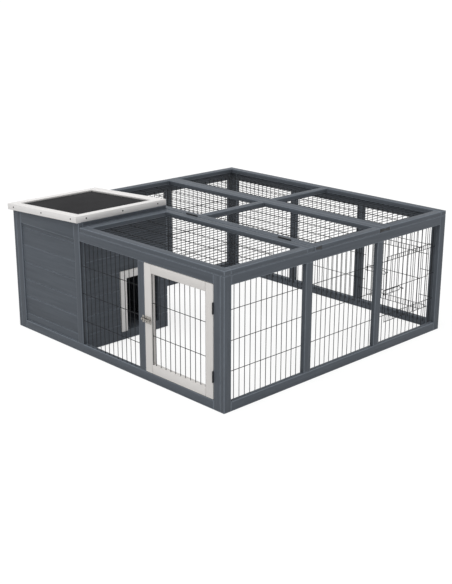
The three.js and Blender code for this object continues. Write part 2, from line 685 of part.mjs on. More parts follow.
function hinges() {
  // Door: both leaves in the gap between the door and its stile, barrel proud in front.
  const inSlot = (slot) => slot / 2 - SEAT - LEAF / 2;
  const doorPinX = doorOpeningEnd - DOOR_HINGE_GAP / 2;
  const doorPinY = -BARREL / 2 - SEAT;
  const names = ['lower', 'upper'];
  names.forEach((name, i) => {
    const offset = inSlot(DOOR_HINGE_GAP);
    const width = BOARD - BARREL;
    const pair = hinge(DOOR_HINGE_LENGTH, 3, { angle: 0, offset, width }, { angle: 0, offset: -offset, width });
    const z = DOOR_HINGE_HEIGHTS[i] - DOOR_HINGE_LENGTH / 2;
    const place = (geometry) => geometry.translate(doorPinX, doorPinY, z);
    put(`door_${name}_hinge_fixed_leaf`, place(pair.fixed), darkSteel);
    put(`door_${name}_hinge_moving_leaf`, place(pair.moving), darkSteel);
  });
  // Front lid: both leaves down in the slot between the rows, barrel on top.
  const sides = ['left', 'right'];
  const lidStarts = ends(frontLidStart, RUN_LENGTH, LID_HINGE_INSET, LID_HINGE_LENGTH);
  sides.forEach((name, i) => {
    const offset = inSlot(ROW_SLOT);
    const leaf = { angle: 0, width: LEAF_WIDTH };
    const pair = hinge(LID_HINGE_LENGTH, 3, { ...leaf, offset: -offset }, { ...leaf, offset });
    const turn = laid(X, Z.clone().negate());
    const place = (geometry) =>
      geometry.applyMatrix4(turn).translate(lidStarts[i], rowHingeY, rowHingeZ);
    put(`lid_${name}_hinge_fixed_leaf`, place(pair.fixed), darkSteel);
    put(`lid_${name}_hinge_moving_leaf`, place(pair.moving), darkSteel);
  });
  // Roof: on the same line, one leaf flat on the middle lid, the other up the roof's back edge.
  const roofStarts = ends(0, HOUSE_LENGTH, ROOF_HINGE_INSET, ROOF_HINGE_LENGTH);
  sides.forEach((name, i) => {
    const start = roofStarts[i];
    const trimMiddle = roofUnderside(start + ROOF_HINGE_LENGTH / 2) + TRIM_HEIGHT / 2;
    const tall = trimMiddle + ROOF_LEAF_PAST_MIDDLE - rowHingeZ - BARREL / 2 - KNUCKLE_GAP;
    const flat = { angle: -Math.PI / 2, offset: rowHingeZ - lidTop - SEAT - LEAF / 2, width: LEAF_WIDTH };
    const upright = { angle: 0, offset: -inSlot(ROW_SLOT), width: tall };
    const pair = hinge(ROOF_HINGE_LENGTH, 3, flat, upright);
    const place = (geometry) => geometry.applyMatrix4(laid(X, Z)).translate(start, rowHingeY, rowHingeZ);
    put(`roof_${name}_hinge_fixed_leaf`, place(pair.fixed), darkSteel);
    put(`roof_${name}_hinge_moving_leaf`, place(pair.moving), darkSteel);
  });
}

// ---------------------------------------------------------------- door

const doorX = [doorOpeningStart + DOOR_GAP, doorOpeningEnd - DOOR_HINGE_GAP];
const doorZ = [railTop + DOOR_GAP, topRailFoot - DOOR_GAP];

function door() {
  const window = [doorX[0] + DOOR_STILE, doorX[1] - DOOR_STILE, doorZ[0] + DOOR_RAIL, doorZ[1] - DOOR_RAIL];
  const frame = prism(
    mirrored(rectangle(...doorX, ...doorZ)), 'y', 0, BOARD, [mirrored(rectangle(...window))],
  );
  put('door_frame', frame, ivoryPaint);
  const u = [window[0] + SEAT, window[1] - SEAT];
  const v = [window[2] + SEAT, window[3] - SEAT];
  const count = Math.floor((u[1] - u[0]) / LINE_PITCH);
  const mesh = sheet({
    u,
    v,
    lines: centred(count, LINE_PITCH, (u[0] + u[1]) / 2),
    crosses: centred(2, DOOR_CROSS_PITCH, (v[0] + v[1]) / 2),
    side: 1,
  });
  mesh.applyMatrix4(basis(X, Z, Y.clone().negate())).translate(0, DOOR_MESH_SET_BACK + WIRE, 0);
  put('door_mesh', mesh, darkWire);
}

// ---------------------------------------------------------------- barrel bolt

// A strap over the bolt: a U of flat strip, with its feet on the plate.
function strap(x, footLevel, axisLevel) {
  const clear = BOLT_DIAMETER / 2 + BOLT_CLEARANCE;
  const outer = clear + STRAP;
  const top = axisLevel - outer;
  const feet = BOLT_PLATE_WIDTH / 2;
  const outline = [
    [footLevel, -feet], [footLevel, -clear], [axisLevel - clear, -clear], [axisLevel - clear, clear],
    [footLevel, clear], [footLevel, feet], [footLevel - STRAP, feet], [footLevel - STRAP, outer],
    [top, outer], [top, -outer], [footLevel - STRAP, -outer], [footLevel - STRAP, -feet],
  ];
  return prism(outline, 'x', x, x + STRAP_WIDTH);
}

// The bolt rests drawn back; thrown, it runs through the keeper on the post.
function barrelBolt() {
  const plateFace = -SEAT - BOLT_PLATE;
  const axis = plateFace - BOLT_DIAMETER / 2 - BOLT_CLEARANCE;
  const plateStart = doorX[0] + 1;
  const plateEnd = plateStart + BOLT_PLATE_LENGTH;
  const half = BOLT_PLATE_WIDTH / 2;
  const plate = prism(rectangle(plateFace, -SEAT, -half, half), 'x', plateStart, plateEnd);
  const sink = STRAP / 2;
  const straps = [plateStart + 1, plateEnd - STRAP_WIDTH - 1].map((x) => strap(x, plateFace + sink, axis));
  const lift = (geometry) => geometry.translate(0, 0, BOLT_HEIGHT);
  put('bolt_plate', lift(joined([plate, ...straps])), brightSteel);
  const tip = doorX[0] - DOOR_GAP / 2;
  const rod = bar('x', [axis, 0], BOLT_DIAMETER, tip, tip + BOLT_LENGTH, 12);
  const knobX = plateStart + BOLT_PLATE_LENGTH / 2 + BOLT_THROW / 2;
  const knob = bar('y', [0, knobX], BOLT_DIAMETER * 0.8, axis - 2 * BOLT_DIAMETER, axis, 10);
  put('bolt', lift(joined([rod, knob])), brightSteel);
  const keeperPlateStart = doorOpeningStart - KEEPER_WIDTH - 2;
  const keeperPlate = prism(
    rectangle(plateFace, -SEAT, -half, half), 'x', keeperPlateStart, keeperPlateStart + KEEPER_WIDTH + 1,
  );
  const keeperStrap = strap(keeperPlateStart + 1, plateFace + sink, axis);
  put('bolt_keeper', lift(joined([keeperPlate, keeperStrap])), brightSteel);
}

// ---------------------------------------------------------------- assembly

frontWall();
rightWall();
backWallTimbers();
leftWall();
wallMeshes();
gates();
houseWalls();
doorwayTrim();
roof();
lids();
hinges();
door();
barrelBolt();

// The origin moves to the middle of the footprint.
const extent = new THREE.Box3().setFromObject(run);
const centre = extent.getCenter(new THREE.Vector3());
run.position.set(-centre.x, -centre.y, 0);

export default run;
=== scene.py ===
"""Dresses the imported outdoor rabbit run: planed and painted timber, round welded wire, felted
roof, hinges, bolt and latches, with a pale studio stage and the camera of the photograph."""

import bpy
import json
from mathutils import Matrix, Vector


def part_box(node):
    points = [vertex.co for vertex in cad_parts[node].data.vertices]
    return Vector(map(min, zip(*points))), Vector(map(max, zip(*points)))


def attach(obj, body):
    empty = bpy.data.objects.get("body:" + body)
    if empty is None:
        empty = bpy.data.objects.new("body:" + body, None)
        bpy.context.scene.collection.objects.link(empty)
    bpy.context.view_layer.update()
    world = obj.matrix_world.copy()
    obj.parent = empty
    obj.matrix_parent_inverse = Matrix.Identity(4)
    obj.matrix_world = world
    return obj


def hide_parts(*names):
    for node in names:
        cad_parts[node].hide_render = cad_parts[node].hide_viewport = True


bl_info = {
    "name": "Outdoor Rabbit Run",
    "version": (1, 0, 0),
    "blender": (4, 5, 0),
    "location": "3D View > Sidebar > Rabbit Run",
    "description": "Builds the detailed rabbit run over its packed frame",
    "category": "Object",
}

import json
import math

import bmesh
import bpy
from mathutils import Matrix, Vector

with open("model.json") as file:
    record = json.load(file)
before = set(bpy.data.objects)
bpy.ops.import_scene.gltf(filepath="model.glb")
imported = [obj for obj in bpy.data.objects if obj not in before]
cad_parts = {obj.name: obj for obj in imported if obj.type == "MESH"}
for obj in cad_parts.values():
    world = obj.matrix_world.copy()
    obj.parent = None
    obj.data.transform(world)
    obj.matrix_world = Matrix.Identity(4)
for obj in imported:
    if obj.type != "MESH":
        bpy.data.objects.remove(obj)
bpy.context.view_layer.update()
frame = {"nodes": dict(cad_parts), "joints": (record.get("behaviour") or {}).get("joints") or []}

X, Y, Z = 0, 1, 2
AXES = (Vector((1, 0, 0)), Vector((0, 1, 0)), Vector((0, 0, 1)))
WHITE = (1, 1, 1, 1)


# ---------------------------------------------------------------- settings


def length(name, description, default):
    return bpy.props.FloatProperty(
        name=name, description=description, default=default, unit="LENGTH", subtype="DISTANCE")


def colour(name, description, default):
    return bpy.props.FloatVectorProperty(
        name=name, description=description, default=default, size=3, min=0, max=1, subtype="COLOR")


def angle(name, description, degrees):
    return bpy.props.FloatProperty(
        name=name, description=description, default=math.radians(degrees), unit="ROTATION",
        subtype="ANGLE")


class RunTimber(bpy.types.PropertyGroup):
    arris: length("Arris", "Rounding of a batten's long corners", 0.0014)
    fine_arris: length("Fine arris", "Rounding of thin boards and of grooves", 0.0006)
    joint: length("Joint", "Seam between two boards of a frame", 0.0004)
    upright: length("Upright", "Width of stiles and posts in a frame", 0.032)
    rail: length("Rail", "Height of the rails in a frame", 0.034)
    lid_batten: length("Lid batten", "Width of a lid's battens", 0.031)
    door_stile: length("Door stile", "Width of the door's stiles", 0.036)
    door_rail: length("Door rail", "Height of the door's rails", 0.033)
    frame_paint: colour("Frame paint", "Grey paint of the frame", (0.0915, 0.1035, 0.12))
    door_paint: colour("Door paint", "Ivory paint of the door", (0.68, 0.66, 0.64))
    trim_paint: colour("Trim paint", "White paint of the trim", (0.76, 0.745, 0.735))


class RunHouse(bpy.types.PropertyGroup):
    board_pitch: length("Board pitch", "Height of one board of the walls", 0.071)
    first_groove: length("First groove", "Height of the lowest groove", 0.066)
    doorway_board: length("Doorway board", "Width of the white boards round the doorway", 0.03)
    trim_height: length("Roof trim height", "Height of the roof's white edge", 0.0235)
    trim_top: length("Roof trim width", "Width of the white edge on top", 0.037)
    trim_back: length("Roof trim width behind", "Width of the white edge along the back", 0.048)
    trim_side: length("Roof trim thickness", "Thickness of the white edge", 0.009)
    trim_lap: length("Roof trim lap", "Thickness of the edge where it laps the felt", 0.0064)
    slope: angle("Roof slope", "Tilt of the roof", 3.14)
    screw: length("Trim screw", "Width of the screws in the roof's edge", 0.0068)
    felt: colour("Roof felt", "Colour of the roofing felt", (0.0325, 0.032, 0.0335))


class RunWire(bpy.types.PropertyGroup):
    diameter: length("Wire", "Diameter of the mesh wire", 0.0025)
    sink: length("Weld sink", "How far crossing wires sink into each other", 0.0003)
    line_pitch: length("Close pitch", "Pitch of the close wires", 0.0254)
    cross_pitch: length("Sparse pitch", "Pitch of the walls' sparse wires", 0.107)
    lid_cross_pitch: length("Lid sparse pitch", "Pitch of the lids' sparse wires", 0.09)
    door_cross_pitch: length("Door sparse pitch", "Pitch of the door's sparse wires", 0.12)
    centre: length("Middle wire", "Height of the walls' middle sparse wire", 0.239)
    margin: length("Margin", "Wire held on the timber past an opening", 0.012)
    back_drop: length("Back gate drop", "The back gate sits lower than the right one", 0.04)
    gate_cells: bpy.props.IntProperty(
        name="Gate cells", description="Cells across a gate's opening", default=11)
    guide: length("Guide wire", "Diameter of the latch guides", 0.002)
    guide_gap: length("Guide gap", "Clearance between a latch and its guides", 0.0004)
    paint: colour("Wire colour", "Colour of the dark wire", (0.018, 0.019, 0.021))


class RunHardware(bpy.types.PropertyGroup):
    leaf: length("Leaf", "Thickness of a hinge leaf", 0.001)
    barrel: length("Barrel", "Diameter of a hinge barrel", 0.005)
    pin: length("Pin", "Diameter of a hinge pin", 0.0026)
    knuckle_gap: length("Knuckle gap", "Gap between two knuckles", 0.0004)
    door_leaf_face: length("Door leaf", "From the pin to the face of a door hinge's leaf", 0.0012)
    lid_leaf_face: length("Lid leaf", "From the pin to the face of a lid hinge's leaf", 0.0027)
    screw: length("Screw", "Width of a small screw head", 0.0052)
    plate: length("Plate", "Thickness of the stamped plates", 0.0012)
    bolt: length("Bolt", "Diameter of the bolt", 0.006)
    bolt_clear: length("Bolt clearance", "Gap round the bolt in its straps", 0.0004)
    strap: length("Strap", "Thickness of the bolt's straps", 0.0012)
    strap_width: length("Strap width", "Width of the bolt's straps", 0.006)
    dark: colour("Dark steel", "Colour of hinges and plates", (0.026, 0.027, 0.029))
    bright: colour("Bright steel", "Colour of the bolt", (0.36, 0.345, 0.32))


class RunStage(bpy.types.PropertyGroup):
    lens: bpy.props.FloatProperty(
        name="Lens", description="Focal length", default=64.09, unit="CAMERA")
    eye: bpy.props.FloatVectorProperty(
        name="Eye", description="Camera's place from the run's front left foot",
        default=(3.454, -2.167, 1.433), subtype="TRANSLATION", unit="LENGTH")
    azimuth: angle("Azimuth", "Camera's turn about Z", 46.03)
    elevation: angle("Elevation", "Camera's height over the level", 17.91)
    roll: angle("Roll", "Camera's roll", 0.14)
    ambient: bpy.props.FloatProperty(
        name="Ambient", description="Strength of the even light", default=0.47)
    key: bpy.props.FloatProperty(name="Key", description="Strength of the key light", default=2.1)
    key_angle: angle("Key softness", "Angular size of the key light", 40)
    key_from: bpy.props.FloatVectorProperty(
        name="Key direction", description="Where the key light comes from",
        default=(0.12, -0.25, 0.96), subtype="DIRECTION")
    floor: length("Floor", "Half the width of the floor", 30.0)


def timber():
    return bpy.context.scene.run_timber


def house():
    return bpy.context.scene.run_house


def wires():
    return bpy.context.scene.run_wire


def hardware():
    return bpy.context.scene.run_hardware


# ---------------------------------------------------------------- places


def box(node):
    low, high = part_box(node)
    return Vector(low), Vector(high)


def pivot(joint):
    """The point that a joint turns about, in metres."""
    for entry in frame["joints"]:
        if entry["name"] == joint:
            return Vector(entry["pos_m"])
    raise ValueError("no joint " + joint)


def corners(points):
    """The least and the greatest corner of the box round some points."""
    return (Vector([min(p[i] for p in points) for i in range(3)]),
            Vector([max(p[i] for p in points) for i in range(3)]))


def every(pitch, first, low, high):
    """Places at a pitch from low to high that are in step with first."""
    slack = 1e-6
    start = first + math.ceil((low - first) / pitch - slack) * pitch
    return [start + i * pitch for i in range(int((high - start) / pitch + slack) + 1)]


def centred(count, pitch, middle):
    return [middle + (i - (count - 1) / 2) * pitch for i in range(count)]


# ---------------------------------------------------------------- node groups and materials

# Noise scales per metre, along a board and across it.
STREAKS = (5, 95, 95)
PORES = (28, 900, 900)

HIGHLIGHT_AND_TINT_REACH = 0.0045  # how far a corner's changed colour reaches, in metres; on the grey frame it is a painted highlight
LEAST_HIGHLIGHT_AND_TINT = 0.25     # the least part of that reach, where the noise is darkest
PORE_SHEEN = 0.14     # how much the pores change the paint's roughness
STREAK_RELIEF = 0.6   # height of the streaks against that of the pores
SPECK_FROM = 0.62     # how bright the felt's grain is where a speck begins
SPECK_SHARE = 0.35    # how much of a speck's own colour shows


def feed(tree, socket, value):
    """Links a value that is a socket, and holds any other in the socket."""
    if isinstance(value, bpy.types.NodeSocket):
        tree.links.new(value, socket)
    else:
        socket.default_value = value


def add(tree, kind, **inputs):
    """A node with its properties and sockets set; _0, _1 and _2 are sockets by number."""
    made = tree.nodes.new(kind)
    for key, value in inputs.items():
        if hasattr(made, key) and key not in made.inputs:
            setattr(made, key, value)
        else:
            feed(tree, made.inputs[int(key[1:]) if key[0] == "_" else key], value)
    return made


def math_node(tree, operation, *values, clamp=False):
    made = add(tree, "ShaderNodeMath", operation=operation, use_clamp=clamp)
    for socket, value in zip(made.inputs, values):
        feed(tree, socket, value)
    return made.outputs[0]


def mix_colour(tree, amount, a, b):
    made = add(tree, "ShaderNodeMix", data_type="RGBA")
    sockets = [s for s in made.inputs if s.enabled]
    for socket, value in zip(sockets, (amount, a, b)):
        feed(tree, socket, value)
    return [s for s in made.outputs if s.enabled][0]


def bump(tree, height, strength, distance):
    made = add(tree, "ShaderNodeBump", Strength=strength, Distance=distance, Height=height)
    return made.outputs[0]


def group_node(tree, group, **inputs):
    return add(tree, "ShaderNodeGroup", node_tree=group, **inputs).outputs


def node_group(name, inputs, outputs, build):
    """The group of that name, built once: build gets its tree, its inputs and its outputs."""
    if name not in bpy.data.node_groups:
        tree = bpy.data.node_groups.new(name, "ShaderNodeTree")
        for in_out, sockets in (("INPUT", inputs), ("OUTPUT", outputs)):
            for label, kind in sockets:
                tree.interface.new_socket(label, in_out=in_out, socket_type="NodeSocket" + kind)
        given = tree.nodes.new("NodeGroupInput").outputs
        build(tree, given, tree.nodes.new("NodeGroupOutput").inputs)
    return bpy.data.node_groups[name]


def wood_grain():
    """Streaks and pores of a board, from its own coordinates: Place runs along it first."""
    def build(tree, given, made):
        seed = given["Seed"]
        shift = add(tree, "ShaderNodeCombineXYZ", X=seed, Y=seed, Z=seed)
        moved = add(
            tree, "ShaderNodeVectorMath", operation="ADD", _0=given["Place"], _1=shift.outputs[0])
        for label, scales, detail, distortion in (
                ("Streak", STREAKS, 4, 0.6), ("Pore", PORES, 2, 0)):
            drawn = add(
                tree, "ShaderNodeVectorMath", operation="MULTIPLY", _0=moved.outputs[0], _1=scales)
            noise = add(
                tree, "ShaderNodeTexNoise", Vector=drawn.outputs[0], Scale=1.0, Detail=detail,
                Distortion=distortion)
            feed(tree, made[label], noise.outputs[0])
    return node_group(
        "wood_grain", [("Place", "Vector"), ("Seed", "Float")],
        [("Streak", "Float"), ("Pore", "Float")], build)


def corner_highlight_and_tint():
    """1 on a board's corners and 0 a few millimetres in, broken up by noise; on the grey frame it
    carries a painted highlight.
    """
    def build(tree, given, made):
        place = add(tree, "ShaderNodeSeparateXYZ", Vector=given["Place"]).outputs
        extent = add(tree, "ShaderNodeSeparateXYZ", Vector=given["Extent"]).outputs
        near = []
        for i in range(3):
            far = math_node(tree, "SUBTRACT", extent[i], place[i])
            near.append(math_node(tree, "MINIMUM", place[i], far))
        low = math_node(tree, "MINIMUM", near[0], near[1])
        high = math_node(tree, "MAXIMUM", near[0], near[1])
        # A corner is where two of the three distances are small, so their median is.
        median = math_node(tree, "MAXIMUM", low, math_node(tree, "MINIMUM", high, near[2]))
        noise = add(tree, "ShaderNodeTexNoise", Vector=given["Place"], Scale=60.0, Detail=3.0)
        ragged = math_node(tree, "ADD", noise.outputs[0], LEAST_HIGHLIGHT_AND_TINT)
        reach = math_node(tree, "MULTIPLY", given["Width"], ragged)
        inward = math_node(tree, "DIVIDE", median, reach)
        feed(tree, made["Mask"], math_node(tree, "SUBTRACT", 1.0, inward, clamp=True))
    return node_group(
        "corner_highlight_and_tint", [("Place", "Vector"), ("Extent", "Vector"), ("Width", "Float")],
        [("Mask", "Float")], build)


def mottle():
    """Large soft and small sharp variation in object space."""
    def build(tree, given, made):
        where = tree.nodes.new("ShaderNodeTexCoord").outputs["Object"]
        cloud = add(tree, "ShaderNodeTexNoise", Vector=where, Scale=9.0, Detail=4.0)
        grain = add(
            tree, "ShaderNodeTexNoise", Vector=where, Scale=given["Size"], Detail=3.0,
            Roughness=0.7)
        feed(tree, made["Cloud"], cloud.outputs[0])
        feed(tree, made["Grain"], grain.outputs[0])
    return node_group(
        "mottle", [("Size", "Float")], [("Cloud", "Float"), ("Grain", "Float")], build)


def material(name, build):
    """The look of that name, built once: build gets its tree and its Principled node."""
    look = name + "_look"
    if look not in bpy.data.materials:
        made = bpy.data.materials.new(look)
        made.use_nodes = True
        build(made.node_tree, made.node_tree.nodes["Principled BSDF"])
    return bpy.data.materials[look]


def dress(tree, shader, **values):
    """Sets or links the shader's sockets, whose names are written with _ for a space."""
    for key, value in values.items():
        feed(tree, shader.inputs[key.replace("_", " ")], value)


def scaled(rgb, amount):
    return (*(min(1.0, c * amount) for c in rgb), 1.0)


def painted_wood(name, paint, highlight_and_tint_scale, highlight_and_tint_amount, roughness, streaks):
    """Paint over softwood, grain showing a little; corners lighter on the grey frame as a painted
    highlight, a little darker on the pale paints.
    """
    def build(tree, shader):
        place = add(tree, "ShaderNodeAttribute", attribute_name="place").outputs["Vector"]
        extent = add(tree, "ShaderNodeAttribute", attribute_name="extent").outputs["Vector"]
        seed = add(tree, "ShaderNodeAttribute", attribute_name="seed").outputs["Fac"]
        grain = group_node(tree, wood_grain(), Place=place, Seed=seed)
        corner = group_node(tree, corner_highlight_and_tint(), Place=place, Extent=extent, Width=HIGHLIGHT_AND_TINT_REACH)
        base = mix_colour(
            tree, grain["Streak"], scaled(paint, 1 - streaks), scaled(paint, 1 + streaks))
        # The corners take the corner colour: on the grey frame a painted highlight of the arrises.
        highlight_and_tint_share = math_node(tree, "MULTIPLY", corner["Mask"], highlight_and_tint_amount)
        relief = math_node(
            tree, "MULTIPLY_ADD", grain["Streak"], STREAK_RELIEF, grain["Pore"])
        dress(
            tree, shader,
            Base_Color=mix_colour(tree, highlight_and_tint_share, base, scaled(paint, highlight_and_tint_scale)),
            Roughness=math_node(
                tree, "MULTIPLY_ADD", grain["Pore"], PORE_SHEEN, roughness - PORE_SHEEN / 2),
            Normal=bump(tree, relief, strength=0.35, distance=0.0004),
            Specular_IOR_Level=0.08)
    return material(name, build)


def frame_paint():
    # Its corners are painted 2.3 times lighter, a painted highlight along the arrises.
    return painted_wood(
        "frame_paint", timber().frame_paint, highlight_and_tint_scale=2.3, highlight_and_tint_amount=0.75, roughness=0.55, streaks=0.24)


def door_paint():
    return painted_wood(
        "door_paint", timber().door_paint, highlight_and_tint_scale=0.86, highlight_and_tint_amount=0.5, roughness=0.5, streaks=0.03)


def trim_paint():
    return painted_wood(
        "trim_paint", timber().trim_paint, highlight_and_tint_scale=0.88, highlight_and_tint_amount=0.5, roughness=0.5, streaks=0.02)


def roof_felt():
    """Dark felt with pale mineral specks."""
    def build(tree, shader):
        felt = house().felt
        where = group_node(tree, mottle(), Size=900.0)
        speck = math_node(tree, "GREATER_THAN", where["Grain"], SPECK_FROM)
        base = mix_colour(tree, where["Cloud"], scaled(felt, 0.8), scaled(felt, 1.3))
        amount = math_node(tree, "MULTIPLY", speck, SPECK_SHARE)
        dress(
            tree, shader,
            Base_Color=mix_colour(tree, amount, base, scaled(felt, 3.2)),
            Roughness=0.92,
            Specular_IOR_Level=0.03,
            Normal=bump(tree, where["Grain"], strength=0.8, distance=0.0006))
    return material("roof_felt", build)


def metal(name, base, metallic, roughness, spread, specular):
    """Drawn or stamped metal, a little uneven in tint and in sheen."""
    def build(tree, shader):
        where = group_node(tree, mottle(), Size=400.0)
        dress(
            tree, shader,
            Base_Color=mix_colour(tree, where["Cloud"], scaled(base, 0.82), scaled(base, 1.2)),
            Metallic=metallic,
            Specular_IOR_Level=specular,
            Roughness=math_node(
                tree, "MULTIPLY_ADD", where["Grain"], spread, roughness - spread / 2),
            Normal=bump(tree, where["Grain"], strength=0.15, distance=0.0002))
    return material(name, build)


def wire_metal():
    return metal(
        "dark_wire", wires().paint, metallic=0.0, roughness=0.5, spread=0.2, specular=0.15)


def dark_steel():
    return metal(
        "dark_steel", hardware().dark, metallic=0.0, roughness=0.45, spread=0.25, specular=0.3)


def bright_steel():
    return metal(
        "bright_steel", hardware().bright, metallic=1.0, roughness=0.3, spread=0.2, specular=0.5)


LOOKS = {
    "frame_paint": frame_paint, "door_paint": door_paint, "trim_paint": trim_paint,
    "roof_felt": roof_felt, "mesh_wire": wire_metal, "dark_wire_latch": wire_metal,
    "dark_steel": dark_steel, "bright_steel": bright_steel,
}


# ---------------------------------------------------------------- mesh making

MERGED = 1e-6                # points this near are one, in metres
FLAT = math.radians(0.5)     # faces that turn less than this are one
SHARP = math.radians(20)     # edges that turn more than this are rounded
CREASE = math.radians(35)    # faces that meet at more than this are shaded apart
PLANK_CREASE = math.radians(20)
PLATE_ARRIS = 0.3            # rounding of a stamped plate, in parts of its thickness
LEAF_ARRIS = 0.2
WIRE_SIDES = 8
ROUND_SIDES = 24             # of barrels and of the bolt
SMALL_SIDES = 16             # of pins, knobs and screw heads


def board_layers(bm):
    """The attributes that the paint reads: place in the board, its extent and its seed."""
    vectors = bm.verts.layers.float_vector
    return vectors.new("place"), vectors.new("extent"), bm.verts.layers.float.new("seed")


class Piece:
    """One object in the making: solids gather in it, each with its own board coordinates."""

    def __init__(self):
        self.bm = bmesh.new()
        board_layers(self.bm)
        self.count = 0

    def take(self, bm, along=X, turn=None):
        """Adds a solid. Its place attribute runs along the board, then across it."""
        self.count += 1
        order = (along, (along + 1) % 3, (along + 2) % 3)
        low, high = corners([v.co for v in bm.verts])
        place, extent, seed = board_layers(bm)
        # Each solid has its own number, from its turn in the piece and from its place.
        number = self.count * 1.37 + abs(low.x) * 7 + abs(low.y) * 5 + abs(low.z) * 3
        for vert in bm.verts:
            vert[place] = Vector([vert.co[i] - low[i] for i in order])
            vert[extent] = Vector([high[i] - low[i] for i in order])
            vert[seed] = number
        if turn:
            bm.transform(turn)
        mesh = bpy.data.meshes.new("part")
        bm.to_mesh(mesh)
        bm.free()
        self.bm.from_mesh(mesh)
        bpy.data.meshes.remove(mesh)
        return self

    def take_turned(self, profile, sides, where, direction):
        """Adds a turned profile whose own +Z points along direction, at where."""
        return self.take(turned(profile, sides), turn=pointing(where, direction))

    def finish(self, name, slot, nodes=(), body="run", crease=CREASE):
        """Makes the object, in the look of its slot, in place of the CAD nodes it stands for."""
        mesh = bpy.data.meshes.new(name)
        bmesh.ops.recalc_face_normals(self.bm, faces=self.bm.faces)
        for face in self.bm.faces:
            face.smooth = True
        self.bm.to_mesh(mesh)
        self.bm.free()
        mesh.set_sharp_from_angle(angle=crease)
        mesh.materials.append(LOOKS[slot]())
        made = bpy.data.objects.new(name, mesh)
        bpy.context.scene.collection.objects.link(made)
        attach(made, body)
        if nodes:
            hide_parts(*nodes)


def rounded(bm, arris, segments=2):
    edges = [e for e in bm.edges if len(e.link_faces) == 2 and e.calc_face_angle() > SHARP]
    bmesh.ops.bevel(
        bm, geom=edges, offset=arris, offset_type="OFFSET", segments=segments, profile=0.5,
        affect="EDGES")
    return bm


def solid_box(low, high, arris, segments=2):
    """A box with its edges rounded."""
    bm = bmesh.new()
    middle = (Vector(low) + Vector(high)) / 2
    size = Vector(high) - Vector(low)
    matrix = Matrix.Translation(middle) @ Matrix.Diagonal((*size, 1))
    bmesh.ops.create_cube(bm, size=1, matrix=matrix)
    return rounded(bm, arris, segments)


def solid_of(node):
    """A CAD solid with its doubled points merged."""
    bm = bmesh.new()
    bm.from_mesh(frame["nodes"][node].data)
    bmesh.ops.remove_doubles(bm, verts=bm.verts, dist=MERGED)
    return bm


def join_flat(bm):
    bmesh.ops.dissolve_limit(bm, angle_limit=FLAT, verts=bm.verts, edges=bm.edges)


def copy_of(node, arris):
    """A CAD solid with its flat faces made whole and its edges rounded."""
    bm = solid_of(node)
    join_flat(bm)
    return rounded(bm, arris)


def cut_away(bm, place, normal):
    """Takes off what lies past a plane, and closes the cut."""
    geom = bm.verts[:] + bm.edges[:] + bm.faces[:]
    cut = bmesh.ops.bisect_plane(bm, geom=geom, plane_co=place, plane_no=normal, clear_outer=True)
    rim = [e for e in cut["geom_cut"] if isinstance(e, bmesh.types.BMEdge)]
    bmesh.ops.holes_fill(bm, edges=rim)


def prism(outline, thickness):
    """An outline of (x, y) points, pulled up from zero."""
    bm = bmesh.new()
    base = [bm.verts.new((x, y, 0)) for x, y in outline]
    top = [bm.verts.new((x, y, thickness)) for x, y in outline]
    bm.faces.new(reversed(base))
    bm.faces.new(top)
    for i in range(len(base)):
        j = (i + 1) % len(base)
        bm.faces.new((base[i], base[j], top[j], top[i]))
    return bm


def turned(profile, sides):
    """A (radius, height) profile turned about Z, with points on the axis closing its ends."""
    on_axis = 1e-7
    bm = bmesh.new()
    rings = []
    for radius, height in profile:
        if radius < on_axis:
            rings.append([bm.verts.new((0, 0, height))])
            continue
        steps = [2 * math.pi * i / sides for i in range(sides)]
        rings.append(
            [bm.verts.new((radius * math.cos(a), radius * math.sin(a), height)) for a in steps])
    for lower, upper in zip(rings, rings[1:]):
        for i in range(sides):
            j = (i + 1) % sides
            loop = [lower[i % len(lower)], lower[j % len(lower)],
                    upper[j % len(upper)], upper[i % len(upper)]]
            face = list(dict.fromkeys(loop))
            if len(face) > 2:
                bm.faces.new(face)
    return bm


def pointing(where, direction):
    """Puts local +Z along direction, at where."""
    turn = AXES[Z].rotation_difference(Vector(direction))
    return Matrix.Translation(where) @ turn.to_matrix().to_4x4()


def rod(points, radius):
    """A round wire along a path. Its rings stretch where it bends, so that it stays as thick."""
    near_upright = 0.9
    sharpest = 0.3
    bm = bmesh.new()
    points = [Vector(p) for p in points]
    last = len(points) - 1
    rings = []
    across = None
    for i, point in enumerate(points):
        before = points[i - 1] if i else point
        after = points[i + 1] if i < last else point
        tangent = (after - before).normalized()
        if across is None:
            guide = AXES[Z] if abs(tangent.z) < near_upright else AXES[X]
            across = tangent.cross(guide).normalized()
        across = (across - tangent * across.dot(tangent)).normalized()
        other = tangent.cross(across)
        into = (point - before).normalized() if i else tangent
        out = (after - point).normalized() if i < last else tangent
        stretch = 1 / max(sharpest, math.sqrt((1 + into.dot(out)) / 2))
        bend = out - into
        bend = bend.normalized() if bend.length > MERGED else None
        ring = []
        for k in range(WIRE_SIDES):
            turn = 2 * math.pi * k / WIRE_SIDES
            spoke = across * math.cos(turn) + other * math.sin(turn)
            if bend:
                spoke += bend * spoke.dot(bend) * (stretch - 1)
            ring.append(bm.verts.new(point + spoke * radius))
        rings.append(ring)
    for a, b in zip(rings, rings[1:]):
        for k in range(WIRE_SIDES):
            j = (k + 1) % WIRE_SIDES
            bm.faces.new((a[k], a[j], b[j], b[k]))
    bm.faces.new(reversed(rings[0]))
    bm.faces.new(rings[-1])
    return bm


def arc(centre, a, b, radius, sweep, steps):
    """Points on an arc from the direction a towards the direction b."""
    turns = [sweep * i / steps for i in range(steps + 1)]
    return [centre + (a * math.cos(t) + b * math.sin(t)) * radius for t in turns]


